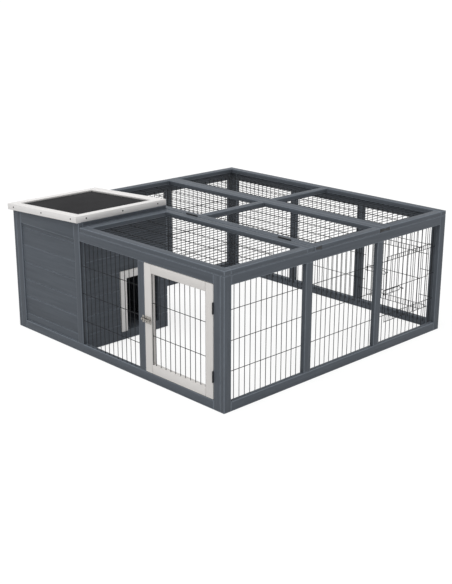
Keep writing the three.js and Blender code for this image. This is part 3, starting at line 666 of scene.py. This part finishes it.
# Radius and height of a screw head with a round recess, in parts of its radius.
SCREW_HEAD = (
    (0, 0.1), (0.2, 0.1), (0.42, 0.1), (0.46, 0.3), (0.75, 0.22), (0.95, 0.08), (1, -0.1),
    (0, -0.1))


def screw(piece, where, normal, width):
    """A small screw head that stands a little proud."""
    r = width / 2
    profile = [(r * radius, r * height) for radius, height in SCREW_HEAD]
    piece.take_turned(profile, SMALL_SIDES, where, normal)


# ---------------------------------------------------------------- timber walls


def batten(piece, low, high, along, arris=None):
    piece.take(solid_box(low, high, timber().arris if arris is None else arris), along)


def single(node, along):
    """A straight batten in place of one CAD node."""
    piece = Piece()
    batten(piece, *box(node), along)
    piece.finish(node + "_timber", "frame_paint", [node])


def framed(piece, low, high, u, v, stile, rail, bars=(), rails_run=False):
    """Four boards round a window in the plane of u and v, with bars across it at places on u."""
    seam = timber().joint
    between_stiles = (low[u] + stile + seam, high[u] - stile - seam)
    between_rails = (low[v] + rail + seam, high[v] - rail - seam)
    rail_span = (low[u], high[u]) if rails_run else between_stiles
    stile_span = between_rails if rails_run else (low[v], high[v])

    def board(place_u, place_v, along):
        a, b = low.copy(), high.copy()
        a[u], b[u] = place_u
        a[v], b[v] = place_v
        batten(piece, a, b, along)

    board((low[u], low[u] + stile), stile_span, v)
    board((high[u] - stile, high[u]), stile_span, v)
    board(rail_span, (low[v], low[v] + rail), u)
    board(rail_span, (high[v] - rail, high[v]), u)
    for start in bars:
        board((start, start + stile), between_rails, v)


class RUN_OT_walls(bpy.types.Operator):
    """Builds the battens and frames of the four walls"""
    bl_idname = "run.walls"
    bl_label = "Walls"

    def execute(self, context):
        s = timber()
        uprights = (
            "right_front_stile", "right_front_post", "right_rear_post", "right_rear_stile",
            "front_mid_post", "front_right_stile", "back_left_post", "back_right_post",
            "left_front_post", "left_rear_post")
        for along, nodes in (
                (Z, uprights), (Y, ("right_bottom_rail", "right_top_rail")),
                (X, ("front_bottom_rail", "front_top_rail"))):
            for node in nodes:
                single(node, along)
        for node, along in (
                ("front_left_stile", Z), ("front_house_post", Z), ("front_gable_board", X)):
            piece = Piece().take(copy_of(node, s.arris), along)
            piece.finish(node + "_timber", "frame_paint", [node])
        back = Piece()
        framed(back, *box("back_frame"), X, Z, s.upright, s.rail)
        back.finish("back_frame_timber", "frame_paint", ["back_frame"])
        self.left_frame(s)
        return {"FINISHED"}

    def left_frame(self, s):
        """The left frame's top rail is a tall board under the roof and a low one behind it."""
        low, high = box("left_frame")
        step = box("house_back_wall")[1].y
        low_top = box("back_frame")[1].z
        start, end = low.y + s.upright + s.joint, high.y - s.upright - s.joint
        piece = Piece()
        batten(piece, low, (high.x, low.y + s.upright, high.z), Z)
        batten(piece, (low.x, high.y - s.upright, low.z), (high.x, high.y, low_top), Z)
        batten(piece, (low.x, start, low.z), (high.x, end, low.z + s.rail), Y)
        batten(piece, (low.x, start, low_top - s.rail), (high.x, step, high.z), Y)
        batten(piece, (low.x, step + s.joint, low_top - s.rail), (high.x, end, low_top), Y)
        piece.finish("left_frame_timber", "frame_paint", ["left_frame"])


# ---------------------------------------------------------------- house

FLOOR_BOARDS = 5


class RUN_OT_house(bpy.types.Operator):
    """Builds the house's boarded walls, floor and doorway trim"""
    bl_idname = "run.house"
    bl_label = "House"

    def execute(self, context):
        for node, along in (
                ("house_front_boards", X), ("house_left_boards", Y),
                ("house_back_wall", X), ("house_side_wall", Y)):
            self.boarded(node, along)
        self.floor(timber())
        self.doorway_trim(timber())
        return {"FINISHED"}

    def boarded(self, node, along):
        """A grooved wall, sliced at its grooves so that each board has its own grain."""
        s = house()
        low, high = box(node)
        grooves = every(s.board_pitch, s.first_groove, low.z, high.z)
        edges = [low.z, *(z for z in grooves if low.z < z < high.z), high.z]
        piece = Piece()
        for bottom, top in zip(edges, edges[1:]):
            bm = solid_of(node)
            for height, normal in ((bottom, -1), (top, 1)):
                if low.z < height < high.z:
                    cut_away(bm, (0, 0, height), (0, 0, normal))
            join_flat(bm)
            piece.take(bm, along)
        piece.finish(node + "_planks", "frame_paint", [node], crease=PLANK_CREASE)

    def floor(self, s):
        low, high = box("house_floor")
        width = (high.y - low.y) / FLOOR_BOARDS
        piece = Piece()
        for i in range(FLOOR_BOARDS):
            a = Vector((low.x, low.y + i * width, low.z))
            b = Vector((high.x, low.y + (i + 1) * width - s.joint, high.z))
            batten(piece, a, b, X, s.fine_arris)
        piece.finish("house_floor_boards", "frame_paint", ["house_floor"])

    def doorway_trim(self, s):
        low, high = box("doorway_trim")
        width = house().doorway_board
        head = Vector((low.x, low.y, high.z - width))
        piece = Piece()
        batten(piece, head, high, Y, s.fine_arris)
        batten(piece, low, (high.x, low.y + width, head.z - s.joint), Z, s.fine_arris)
        piece.finish("doorway_trim_boards", "trim_paint", ["doorway_trim"])


# ---------------------------------------------------------------- roof

# Where the screws of the roof's edge stand, in parts of its lengths and of its height.
FRONT_SCREWS = (0.09, 0.505, 0.92)
SIDE_SCREWS = (0.105, 0.5, 0.9)
SCREW_LEVEL = 0.52
LEFT_SCREW_SUNK = 0.0007  # keeps the left screws inside the frame's bounds


class RUN_OT_roof(bpy.types.Operator):
    """Builds the roof's white edge, felt and deck, with its screws"""
    bl_idname = "run.roof"
    bl_label = "Roof"

    def execute(self, context):
        s = house()
        low, high = box("roof_trim")
        lean = s.trim_height * math.sin(s.slope)
        size_x = (high.x - low.x - lean) / math.cos(s.slope)
        size_y = high.y - low.y
        # The roof's own level frame has its zero at the lower left front corner of the edge.
        corner = Vector((low.x + lean, low.y, low.z))
        turn = Matrix.Translation(corner) @ Matrix.Rotation(-s.slope, 4, "Y")
        trim = Piece()
        for side in range(4):
            trim.take(self.edge_board(s, size_x, size_y, side), turn=turn)
        trim.finish("roof_trim_boards", "trim_paint", ["roof_trim"], "roof")
        felt = Piece().take(copy_of("roof_felt", timber().fine_arris))
        felt.finish("roof_felt_sheet", "roof_felt", ["roof_felt"], "roof")
        deck = Piece().take(copy_of("roof_deck", timber().fine_arris))
        deck.finish("roof_deck_board", "frame_paint", ["roof_deck"], "roof")
        level = s.trim_height * SCREW_LEVEL
        heads = [((size_x * part, 0, level), (0, -1, 0)) for part in FRONT_SCREWS]
        for part in SIDE_SCREWS:
            heads.append(((size_x, size_y * part, level), (1, 0, 0)))
            heads.append(((LEFT_SCREW_SUNK, size_y * part, level), (-1, 0, 0)))
        screws = Piece()
        for place, normal in heads:
            screw(screws, turn @ Vector(place), turn.to_3x3() @ Vector(normal), s.screw)
        screws.finish("roof_trim_screws", "dark_steel", body="roof")
        return {"FINISHED"}

    def edge_board(self, s, size_x, size_y, side):
        """One mitred length of the edge: a fascia with a lip over the felt, wider behind."""
        lap = s.trim_height - s.trim_lap
        section = [
            (0, 0), (s.trim_side, 0), (s.trim_side, lap), (s.trim_top, lap),
            (s.trim_top, s.trim_height), (0, s.trim_height),
        ]
        stretch = 1 + (s.trim_back - s.trim_top) / (s.trim_top - s.trim_side)
        outer = [(0, 0), (size_x, 0), (size_x, size_y), (0, size_y)]
        inward = [(1, 1), (-1, 1), (-1, -1), (1, -1)]
        start, end = side, (side + 1) % 4
        seam = timber().joint / 2
        along = Vector((outer[end][0] - outer[start][0], outer[end][1] - outer[start][1], 0))
        along.normalize()
        bm = bmesh.new()
        rings = []
        for corner, shift in ((start, seam), (end, -seam)):
            ring = []
            for depth, height in section:
                behind = outer[corner][1] > 0 and depth > s.trim_side
                deep = s.trim_side + (depth - s.trim_side) * stretch if behind else depth
                x = outer[corner][0] + inward[corner][0] * depth
                y = outer[corner][1] + inward[corner][1] * deep
                ring.append(bm.verts.new(Vector((x, y, height)) + along * shift))
            rings.append(ring)
        bm.faces.new(rings[0])
        bm.faces.new(reversed(rings[1]))
        for i in range(len(section)):
            j = (i + 1) % len(section)
            bm.faces.new((rings[0][i], rings[1][i], rings[1][j], rings[0][j]))
        bmesh.ops.recalc_face_normals(bm, faces=bm.faces)
        return rounded(bm, timber().fine_arris)


# ---------------------------------------------------------------- lids and door


class RUN_OT_lids(bpy.types.Operator):
    """Builds the battens of the three lids over the run"""
    bl_idname = "run.lids"
    bl_label = "Lids"

    def execute(self, context):
        width = timber().lid_batten
        for name, body, has_bar in (
                ("front_lid", "front_lid", False), ("middle_lid", "run", True),
                ("rear_lid", "run", True)):
            low, high = box(name + "_frame")
            bars = [(low.x + high.x - width) / 2] if has_bar else []
            piece = Piece()
            framed(piece, low, high, X, Y, width, width, bars, rails_run=True)
            piece.finish(name + "_timber", "frame_paint", [name + "_frame"], body)
        return {"FINISHED"}


class RUN_OT_door(bpy.types.Operator):
    """Builds the door's stiles and rails"""
    bl_idname = "run.door"
    bl_label = "Door"

    def execute(self, context):
        s = timber()
        piece = Piece()
        framed(piece, *box("door_frame"), X, Z, s.door_stile, s.door_rail)
        piece.finish("door_timber", "door_paint", ["door_frame"], "door")
        return {"FINISHED"}


# ---------------------------------------------------------------- welded mesh


def wire_sheet(node, body, u, v, outer, lines, crosses, opening=None, bounds=None):
    """Round wires welded into a sheet: close ones along v on the outer side, sparse ones along u.
    An opening is its span on u, its span on v, and the heights of sparse wires that edge it."""
    s = wires()
    w = 3 - u - v
    low, high = bounds or box(node)
    radius = s.diameter / 2
    levels = (high[w] - radius - s.sink / 2, low[w] + radius + s.sink / 2)
    line_level, cross_level = levels if outer > 0 else levels[::-1]
    hole_u, hole_v, edging = opening or (None, None, ())
    piece = Piece()

    def straight(along, place, level, start, end):
        a, b = Vector(), Vector()
        other = v if along == u else u
        a[along], b[along] = start, end
        a[other] = b[other] = place
        a[w] = b[w] = level
        piece.take(rod([a, b], radius), along)

    def spans(place, across, whole, hole):
        if opening and across[0] + s.diameter < place < across[1] - s.diameter:
            return [(whole[0], hole[0]), (hole[1], whole[1])]
        return [whole]

    for place in lines:
        for start, end in spans(place, hole_u, (low[v], high[v]), hole_v):
            straight(v, place, line_level, start, end)
    for place in crosses:
        for start, end in spans(place, hole_v, (low[u], high[u]), hole_u):
            straight(u, place, cross_level, start, end)
    past = s.margin * 3
    for place in edging:
        straight(u, place, cross_level, hole_u[0] - past, hole_u[1] + past)
    piece.finish(node + "_wires", "mesh_wire", [node], body)


class RUN_OT_mesh(bpy.types.Operator):
    """Builds the welded wire of the walls, the lids and the door"""
    bl_idname = "run.mesh"
    bl_label = "Welded mesh"

    def execute(self, context):
        s = wires()
        crosses = centred(3, s.cross_pitch, s.centre)
        self.front(s)
        low, high = box("left_mesh")
        lines = every(s.line_pitch, low.y + s.line_pitch / 4, low.y, high.y)
        wire_sheet("left_mesh", "run", Y, Z, -1, lines, crosses)
        self.gated(s, "right_mesh", Y, "right_gate_hinge", 0, crosses)
        self.gated(s, "back_mesh", X, "back_gate_hinge", s.back_drop, crosses)
        for name, body in (("front_lid", "front_lid"), ("middle_lid", "run"), ("rear_lid", "run")):
            low, high = box(name + "_mesh")
            first = (low.x + high.x) / 2 + s.line_pitch / 2
            lines = every(s.line_pitch, first, low.x + s.diameter, high.x - s.diameter)
            frame_low, frame_high = box(name + "_frame")
            sparse = centred(3, s.lid_cross_pitch, (frame_low.y + frame_high.y) / 2)
            wire_sheet(name + "_mesh", body, X, Y, 1, lines, sparse)
        low, high = box("door_mesh")
        in_step = every(s.line_pitch, high.x - s.diameter, low.x, high.x)
        sparse = centred(2, s.door_cross_pitch, (low.z + high.z) / 2)
        wire_sheet(
            "door_mesh", "door", X, Z, -1, [low.x + s.diameter / 2, *in_step], sparse)
        return {"FINISHED"}

    def front(self, s):
        """The front wall's sheet is let into its opening, level with the door's."""
        seam = timber().joint
        near, far = box("door_mesh")
        low = Vector((
            box("front_house_post")[1].x + seam, near.y, box("front_bottom_rail")[1].z + seam))
        high = Vector((
            box("front_mid_post")[0].x - seam, far.y, box("front_top_rail")[0].z - seam))
        lines = every(s.line_pitch, low.x + s.diameter, low.x, high.x)
        crosses = centred(3, s.cross_pitch, (low.z + high.z) / 2)
        wire_sheet("front_mesh", "run", X, Z, -1, lines, crosses, bounds=(low, high))

    def gated(self, s, node, u, joint, drop, crosses):
        """A wall's sheet with a gate's opening, which ends at the wire that the gate turns on."""
        low, high = box(node)
        hinge = pivot(joint)[u]
        middle = s.centre - drop
        edges = (middle - s.cross_pitch, middle + s.cross_pitch)
        opening = ((hinge - s.gate_cells * s.line_pitch, hinge), edges, edges if drop else ())
        lines = every(s.line_pitch, hinge, low[u], high[u])
        wire_sheet(node, "run", u, Z, 1, lines, crosses, opening)


# ---------------------------------------------------------------- gates

EYE_SWEEP = math.radians(320)  # how far a gate's long wires curl round their pivot
EYE_STEPS = 20
HAIRPIN_STEPS = 14


class RUN_OT_gates(bpy.types.Operator):
    """Builds the two wire gates and their sliding latches"""
    bl_idname = "run.gates"
    bl_label = "Wire gates"

    def execute(self, context):
        self.gate("right_gate", Y, X, "right_gate_hinge")
        self.gate("back_gate", X, Y, "back_gate_hinge")
        return {"FINISHED"}

    def gate(self, name, u, w, joint):
        """Both gates reach from their pivot towards smaller u and open towards larger w."""
        s = wires()
        radius = s.diameter / 2
        low, high = box(name)
        hinge = pivot(joint)
        across, out = -AXES[u], AXES[w]
        long_level = high[w] - radius
        upright_level = long_level - s.diameter + s.sink
        rows = [low.z + radius, (low.z + high.z) / 2, high.z - radius]

        def at(reach, height, level):
            return across * reach + AXES[Z] * height + out * level + AXES[u] * hinge[u]

        piece = Piece()
        for row, height in enumerate(rows):
            curled = row != 1
            start = 0 if curled else s.line_pitch / 4
            path = [at(hinge[u] - low[u], height, long_level), at(start, height, long_level)]
            if curled:
                centre = at(0, height, hinge[w])
                path += arc(centre, out, -across, long_level - hinge[w], EYE_SWEEP, EYE_STEPS)[1:]
            piece.take(rod(path, radius))
        uprights = [(i + 0.5) * s.line_pitch for i in range(s.gate_cells)]
        for reach in uprights:
            ends = [at(reach, rows[0], upright_level), at(reach, rows[2], upright_level)]
            piece.take(rod(ends, radius))
        prongs = self.latch(name, u, w, at)
        self.guides(piece, at, (uprights[-1], uprights[-3]), prongs, low[w], upright_level)
        piece.finish(name + "_wires", "mesh_wire", [name], name)

    def latch(self, name, u, w, at):
        """A hairpin with a finger knob at its bend. Returns the heights of its two prongs."""
        s = wires()
        radius = s.diameter / 2
        low, high = box(name + "_latch")
        level = low[w] + radius
        prongs = (low.z + radius, high.z - radius)
        hinge = at(0, 0, 0)[u]
        tip = hinge - low[u]
        middle = (prongs[0] + prongs[1]) / 2
        bend = (prongs[1] - prongs[0]) / 2
        knob = hinge - high[u] + s.diameter
        path = [at(tip, prongs[1], level)]
        centre = at(knob + bend, middle, level)
        path += arc(centre, AXES[Z], AXES[u], bend, math.pi, HAIRPIN_STEPS)
        path.append(at(tip, prongs[0], level))
        piece = Piece().take(rod(path, radius))
        reach = high[w] - level
        wide = s.diameter
        stem = [
            (0, -radius), (radius, -radius), (radius, reach * 0.62), (wide, reach * 0.68),
            (wide, reach * 0.92), (wide * 0.8, reach), (0, reach),
        ]
        piece.take_turned(stem, SMALL_SIDES, at(knob, middle, level), AXES[w])
        latch = name + "_latch"
        piece.finish(latch + "_wire", "dark_wire_latch", [latch], latch)
        return prongs

    def guides(self, gate, at, reaches, prongs, inner_face, upright_level):
        """The staples of thin wire that the latch slides in."""
        s = wires()
        radius = s.guide / 2
        inner = inner_face + radius
        gap = s.diameter / 2 + radius + s.guide_gap
        low, high = prongs[0] - gap, prongs[1] + gap
        for reach in reaches:
            gate.take(rod([
                at(reach, low, upright_level), at(reach, low, inner),
                at(reach, high, inner), at(reach, high, upright_level)], radius))


# ---------------------------------------------------------------- hinges

KNUCKLES = 3
BORE_PLAY = 0.0001              # room round a pin in a moving knuckle
LEAF_SCREWS = (0.18, 0.5, 0.82)  # in parts of the leaf's length


class RUN_OT_hinges(bpy.types.Operator):
    """Builds the butt hinges of the door, the front lid and the roof"""
    bl_idname = "run.hinges"
    bl_label = "Hinges"

    def execute(self, context):
        s = hardware()
        x, y, up = AXES
        door, lid, roof = s.door_leaf_face, s.lid_leaf_face, s.barrel / 2
        for place in ("lower", "upper"):
            name = f"door_{place}_hinge"
            self.leaf(name, "fixed", "run", "door_hinge", Z, y, x, door)
            self.leaf(name, "moving", "door", "door_hinge", Z, y, -x, door)
        for place in ("left", "right"):
            name = f"lid_{place}_hinge"
            self.leaf(name, "fixed", "run", "front_lid_hinge", X, -up, y, lid)
            self.leaf(name, "moving", "front_lid", "front_lid_hinge", X, -up, -y, lid)
            name = f"roof_{place}_hinge"
            self.leaf(name, "fixed", "run", "roof_hinge", X, y, -up, roof)
            self.leaf(name, "moving", "roof", "roof_hinge", X, up, -y, lid)
        return {"FINISHED"}

    def leaf(self, name, kind, body, joint, along, reach, side, face):
        """A plate that reaches out from the barrel on one side of the pin, with its knuckles.
        Its face is that far from the pin towards side."""
        s = hardware()
        node = f"{name}_{kind}_leaf"
        fixed = kind == "fixed"
        low, high = box(node)
        start, end = low[along], high[along]
        fixed_low, fixed_high = box(name + "_fixed_leaf")
        full = fixed_high[along] - fixed_low[along]
        pin = pivot(joint).copy()
        pin[along] = 0
        clear = s.barrel / 2 + s.knuckle_gap
        far = max(reach.dot(low - pin), reach.dot(high - pin))
        axis = AXES[along]
        piece = Piece()

        def plate(near, out, a, b):
            least, greatest = corners([
                pin + axis * a + reach * near + side * (face - s.leaf),
                pin + axis * b + reach * out + side * face])
            piece.take(solid_box(least, greatest, s.leaf * LEAF_ARRIS, 1), along)

        plate(clear, far, start, end)
        for i in (0, 2) if fixed else (1,):
            a = start + i * full / KNUCKLES + s.knuckle_gap / 2
            b = start + (i + 1) * full / KNUCKLES - s.knuckle_gap / 2
            plate(0, clear + s.leaf / 2, a, b)
            piece.take(self.knuckle(s, b - a, fixed), turn=pointing(pin + axis * a, axis))
        if fixed:
            a = start + s.knuckle_gap
            span = full - 2 * s.knuckle_gap
            bar = [(0, 0), (s.pin / 2, 0), (s.pin / 2, span), (0, span)]
            piece.take_turned(bar, SMALL_SIDES, pin + axis * a, axis)
        if far > clear + s.screw * 1.5:  # a narrower leaf has no room for screws
            for part in LEAF_SCREWS:
                where = pin + axis * (start + (end - start) * part)
                where += reach * ((clear + far) / 2) + side * (face - s.leaf)
                screw(piece, where, -side, s.screw)
        piece.finish(node + "_steel", "dark_steel", [node], body)

    def knuckle(self, s, span, solid):
        """A length of barrel, closed at its ends or bored for the pin."""
        r = s.barrel / 2
        bore = 0 if solid else s.pin / 2 + BORE_PLAY
        profile = [
            (bore, 0), (r * 0.94, 0), (r, r * 0.08), (r, span - r * 0.08), (r * 0.94, span),
            (bore, span)]
        if bore:
            profile.append(profile[0])
        bm = turned(profile, ROUND_SIDES)
        bmesh.ops.remove_doubles(bm, verts=bm.verts, dist=MERGED / 10)
        return bm


# ---------------------------------------------------------------- bolt and plates

STRAP_INSET = 0.001       # from the end of a plate to its strap
SCREW_INSET_Z = 0.004     # from a plate's lower and upper edge to its screws
SCREW_INSET_X = 0.0105    # from the ends of the bolt's plate to its screws
KNOB_SHIFT = 0.006        # from the middle of the plate to the bolt's knob
STRAP_STEPS = 10
KNOB_SIDES = 20
SEAT_SCREW = 0.8          # width of the bolt's screws against the others


class RUN_OT_bolt(bpy.types.Operator):
    """Builds the door's barrel bolt and its keeper"""
    bl_idname = "run.bolt"
    bl_label = "Bolt"

    def execute(self, context):
        s = hardware()
        low, high = box("bolt")
        plate_low, plate_high = box("bolt_plate")
        axis_y = plate_high.y - s.plate - s.bolt / 2 - s.bolt_clear
        axis_z = (low.z + high.z) / 2
        self.seat(s, "bolt_plate", "door", axis_y, axis_z, straps=2)
        self.seat(s, "bolt_keeper", "run", axis_y, axis_z, straps=1)
        r = s.bolt / 2
        span = high.x - low.x
        barrel = [
            (0, 0), (r * 0.6, 0), (r, r * 0.4), (r, span - r * 0.2), (r * 0.8, span), (0, span)]
        piece = Piece()
        piece.take_turned(barrel, ROUND_SIDES, (low.x, axis_y, axis_z), AXES[X])
        reach = axis_y - low.y
        knob = [
            (0, 0), (r * 0.5, 0), (r * 0.5, reach * 0.55), (r * 0.8, reach * 0.66),
            (r * 0.8, reach * 0.86), (r * 0.5, reach), (0, reach)]
        place = ((plate_low.x + plate_high.x) / 2 + KNOB_SHIFT, axis_y, axis_z)
        piece.take_turned(knob, KNOB_SIDES, place, -AXES[Y])
        piece.finish("bolt_steel", "bright_steel", ["bolt"], "bolt")
        return {"FINISHED"}

    def seat(self, s, node, body, axis_y, axis_z, straps):
        """A screwed plate with the straps that hold the bolt."""
        low, high = box(node)
        face = high.y - s.plate
        piece = Piece().take(solid_box((low.x, face, low.z), high, s.plate * PLATE_ARRIS))
        quarter = math.radians(90)
        upright = Matrix.Rotation(quarter, 4, "Y") @ Matrix.Rotation(quarter, 4, "Z")
        for start in [low.x + STRAP_INSET, high.x - STRAP_INSET - s.strap_width][:straps]:
            piece.take(
                self.strap(s, face, axis_y, high.z - axis_z),
                turn=Matrix.Translation((start, 0, axis_z)) @ upright)
        middles = [low.x + SCREW_INSET_X, high.x - SCREW_INSET_X]
        if straps == 1:
            middles = [(low.x + high.x) / 2]
        for z in (low.z + SCREW_INSET_Z, high.z - SCREW_INSET_Z):
            for x in middles:
                screw(piece, (x, face, z), (0, -1, 0), s.screw * SEAT_SCREW)
        piece.finish(node + "_steel", "bright_steel", [node], body)

    def strap(self, s, face, axis_y, feet):
        """A U of strip over the bolt. Local x is depth, y height and z along the bolt."""
        clear = s.bolt / 2 + s.bolt_clear
        outer = clear + s.strap
        foot = s.strap * 0.5
        turns = [math.pi * i / STRAP_STEPS - math.pi / 2 for i in range(STRAP_STEPS + 1)]
        arch = [(axis_y - outer * math.cos(t), outer * math.sin(t)) for t in turns]
        inner = [(axis_y - clear * math.cos(t), clear * math.sin(t)) for t in reversed(turns)]
        front, back = face - foot, face + foot
        return prism([
            (back, -feet), (front, -feet), (front, -outer), *arch, (front, outer), (front, feet),
            (back, feet), (back, clear), *inner, (back, -clear)], s.strap_width)


PLATE_SCREW_INSET = 0.009   # from the tie plate's ends to its outer screws
PLATE_SCREW_MIDDLE = 0.012  # from its middle to its inner screws
HALF_PLATE_INSET = 0.006    # from the middle lid's front edge to the half plate
SCREW_PROUD = 0.16          # how far a screw stands out, in parts of its width


class RUN_OT_plates(bpy.types.Operator):
    """Builds the tie plate and the half plate on the lids' right ends"""
    bl_idname = "run.plates"
    bl_label = "Plates"

    def execute(self, context):
        s = hardware()
        low, high = box("tie_plate")
        middle = (low.y + high.y) / 2
        # The plates are thinned a little, so that their screws stay inside the frame's bounds.
        proud = s.screw * SCREW_PROUD
        thinner = (high.x - low.x - proud) / (high.x - low.x)
        thin = Matrix.Diagonal((thinner, 1, 1, 1)) @ Matrix.Translation((-low.x, 0, 0))
        piece = Piece().take(
            copy_of("tie_plate", s.plate * PLATE_ARRIS),
            turn=Matrix.Translation((low.x, 0, 0)) @ thin)
        for y in (
                low.y + PLATE_SCREW_INSET, middle - PLATE_SCREW_MIDDLE,
                middle + PLATE_SCREW_MIDDLE, high.y - PLATE_SCREW_INSET):
            screw(piece, (high.x - proud, y, (low.z + high.z) / 2), (1, 0, 0), s.screw)
        piece.finish("tie_plate_steel", "dark_steel", ["tie_plate"])
        half = copy_of("tie_plate", s.plate * PLATE_ARRIS)
        cut_away(half, (0, middle, 0), (0, -1, 0))
        place = box("middle_lid_frame")[0].y + HALF_PLATE_INSET - middle
        half.transform(Matrix.Translation((low.x, place, 0)) @ thin)
        Piece().take(half).finish("half_plate_steel", "dark_steel")
        return {"FINISHED"}


# ---------------------------------------------------------------- stage

FLOOR_GLOW = 1.06   # brings the floor, as the camera sees it, up to white
FLOOR_SHARE = 0.78  # the glow's share of that; the rest keeps the shadow
FLOOR_GAP = 0.0005  # from the run's feet down to the floor
VIEW_END = 200      # how far the camera sees, in metres


class RUN_OT_stage(bpy.types.Operator):
    """Sets the floor, the light and the photograph's camera"""
    bl_idname = "run.stage"
    bl_label = "Stage"

    def execute(self, context):
        s = context.scene.run_stage
        context.scene.view_settings.view_transform = "Standard"
        self.camera(s)
        self.floor(s)
        self.world(s)
        sun = bpy.data.lights.new("key", "SUN")
        sun.energy = s.key
        sun.angle = s.key_angle
        self.place(sun, Vector(s.key_from).to_track_quat("Z", "Y"))
        return {"FINISHED"}

    def place(self, data, turn):
        made = bpy.data.objects.new(data.name, data)
        made.rotation_mode = "QUATERNION"
        made.rotation_quaternion = turn
        bpy.context.scene.collection.objects.link(made)
        return made

    def camera(self, s):
        camera = bpy.data.cameras.new("camera")
        camera.lens = s.lens
        camera.clip_end = VIEW_END
        level = math.cos(s.elevation)
        out = Vector((
            math.sin(s.azimuth) * level, -math.cos(s.azimuth) * level, math.sin(s.elevation)))
        roll = Matrix.Rotation(s.roll, 3, "Z").to_quaternion()
        eye = self.place(camera, out.to_track_quat("Z", "Y") @ roll)
        foot = Vector((box("left_frame")[0].x, box("right_front_stile")[0].y, 0))
        eye.location = foot + Vector(s.eye)
        bpy.context.scene.camera = eye

    def seen_white(self, tree):
        """1 for the camera, for mirrors and for glass."""
        path = tree.nodes.new("ShaderNodeLightPath").outputs
        either = math_node(tree, "MAXIMUM", path["Is Camera Ray"], path["Is Glossy Ray"])
        return math_node(tree, "MAXIMUM", either, path["Is Transmission Ray"])

    def blend(self, tree, amount, a, b):
        mix = add(tree, "ShaderNodeMixShader", _0=amount, _1=a.outputs[0], _2=b.outputs[0])
        return mix.outputs[0]

    def world(self, s):
        world = bpy.data.worlds.new("studio")
        bpy.context.scene.world = world
        world.use_nodes = True
        tree = world.node_tree
        tree.nodes.clear()
        even = add(tree, "ShaderNodeBackground", Color=WHITE, Strength=s.ambient)
        white = add(tree, "ShaderNodeBackground", Color=WHITE, Strength=1.0)
        seen = self.blend(tree, self.seen_white(tree), even, white)
        add(tree, "ShaderNodeOutputWorld", Surface=seen)

    def floor(self, s):
        bm = bmesh.new()
        bmesh.ops.create_grid(bm, x_segments=8, y_segments=8, size=s.floor)
        mesh = bpy.data.meshes.new("floor")
        bm.to_mesh(mesh)
        bm.free()
        plane = bpy.data.objects.new("floor", mesh)
        plane.location.z = -FLOOR_GAP
        bpy.context.scene.collection.objects.link(plane)

        def build(tree, shader):
            dress(
                tree, shader, Base_Color=(0.9, 0.9, 0.9, 1), Roughness=0.9,
                Specular_IOR_Level=0.1)
            glow = add(tree, "ShaderNodeEmission", Color=WHITE, Strength=FLOOR_GLOW)
            amount = math_node(tree, "MULTIPLY", self.seen_white(tree), FLOOR_SHARE)
            out = next(n for n in tree.nodes if n.type == "OUTPUT_MATERIAL")
            feed(tree, out.inputs["Surface"], self.blend(tree, amount, shader, glow))

        mesh.materials.append(material("pale_floor", build))


# ---------------------------------------------------------------- add-on


class RUN_PT_panel(bpy.types.Panel):
    """Buttons and settings of the rabbit run"""
    bl_idname = "RUN_PT_panel"
    bl_label = "Rabbit Run"
    bl_space_type = "VIEW_3D"
    bl_region_type = "UI"
    bl_category = "Rabbit Run"

    def draw(self, context):
        for operator in OPERATORS:
            self.layout.operator(operator.bl_idname)
        for attribute, group in SETTINGS:
            part = self.layout.box()
            for name in group.__annotations__:
                part.prop(getattr(context.scene, attribute), name)


SETTINGS = (
    ("run_timber", RunTimber), ("run_house", RunHouse), ("run_wire", RunWire),
    ("run_hardware", RunHardware), ("run_stage", RunStage),
)
OPERATORS = (
    RUN_OT_stage, RUN_OT_walls, RUN_OT_house, RUN_OT_roof, RUN_OT_lids, RUN_OT_door,
    RUN_OT_mesh, RUN_OT_gates, RUN_OT_hinges, RUN_OT_bolt, RUN_OT_plates,
)


def register():
    for attribute, group in SETTINGS:
        bpy.utils.register_class(group)
        setattr(bpy.types.Scene, attribute, bpy.props.PointerProperty(type=group))
    for operator in OPERATORS:
        bpy.utils.register_class(operator)
    bpy.utils.register_class(RUN_PT_panel)


def unregister():
    bpy.utils.unregister_class(RUN_PT_panel)
    for operator in reversed(OPERATORS):
        bpy.utils.unregister_class(operator)
    for attribute, group in reversed(SETTINGS):
        delattr(bpy.types.Scene, attribute)
        bpy.utils.unregister_class(group)


def main():
    register()
    bpy.ops.run.stage()
    bpy.ops.run.walls()
    bpy.ops.run.house()
    bpy.ops.run.roof()
    bpy.ops.run.lids()
    bpy.ops.run.door()
    bpy.ops.run.mesh()
    bpy.ops.run.gates()
    bpy.ops.run.hinges()
    bpy.ops.run.bolt()
    bpy.ops.run.plates()


if __name__ == "__main__":
    main()
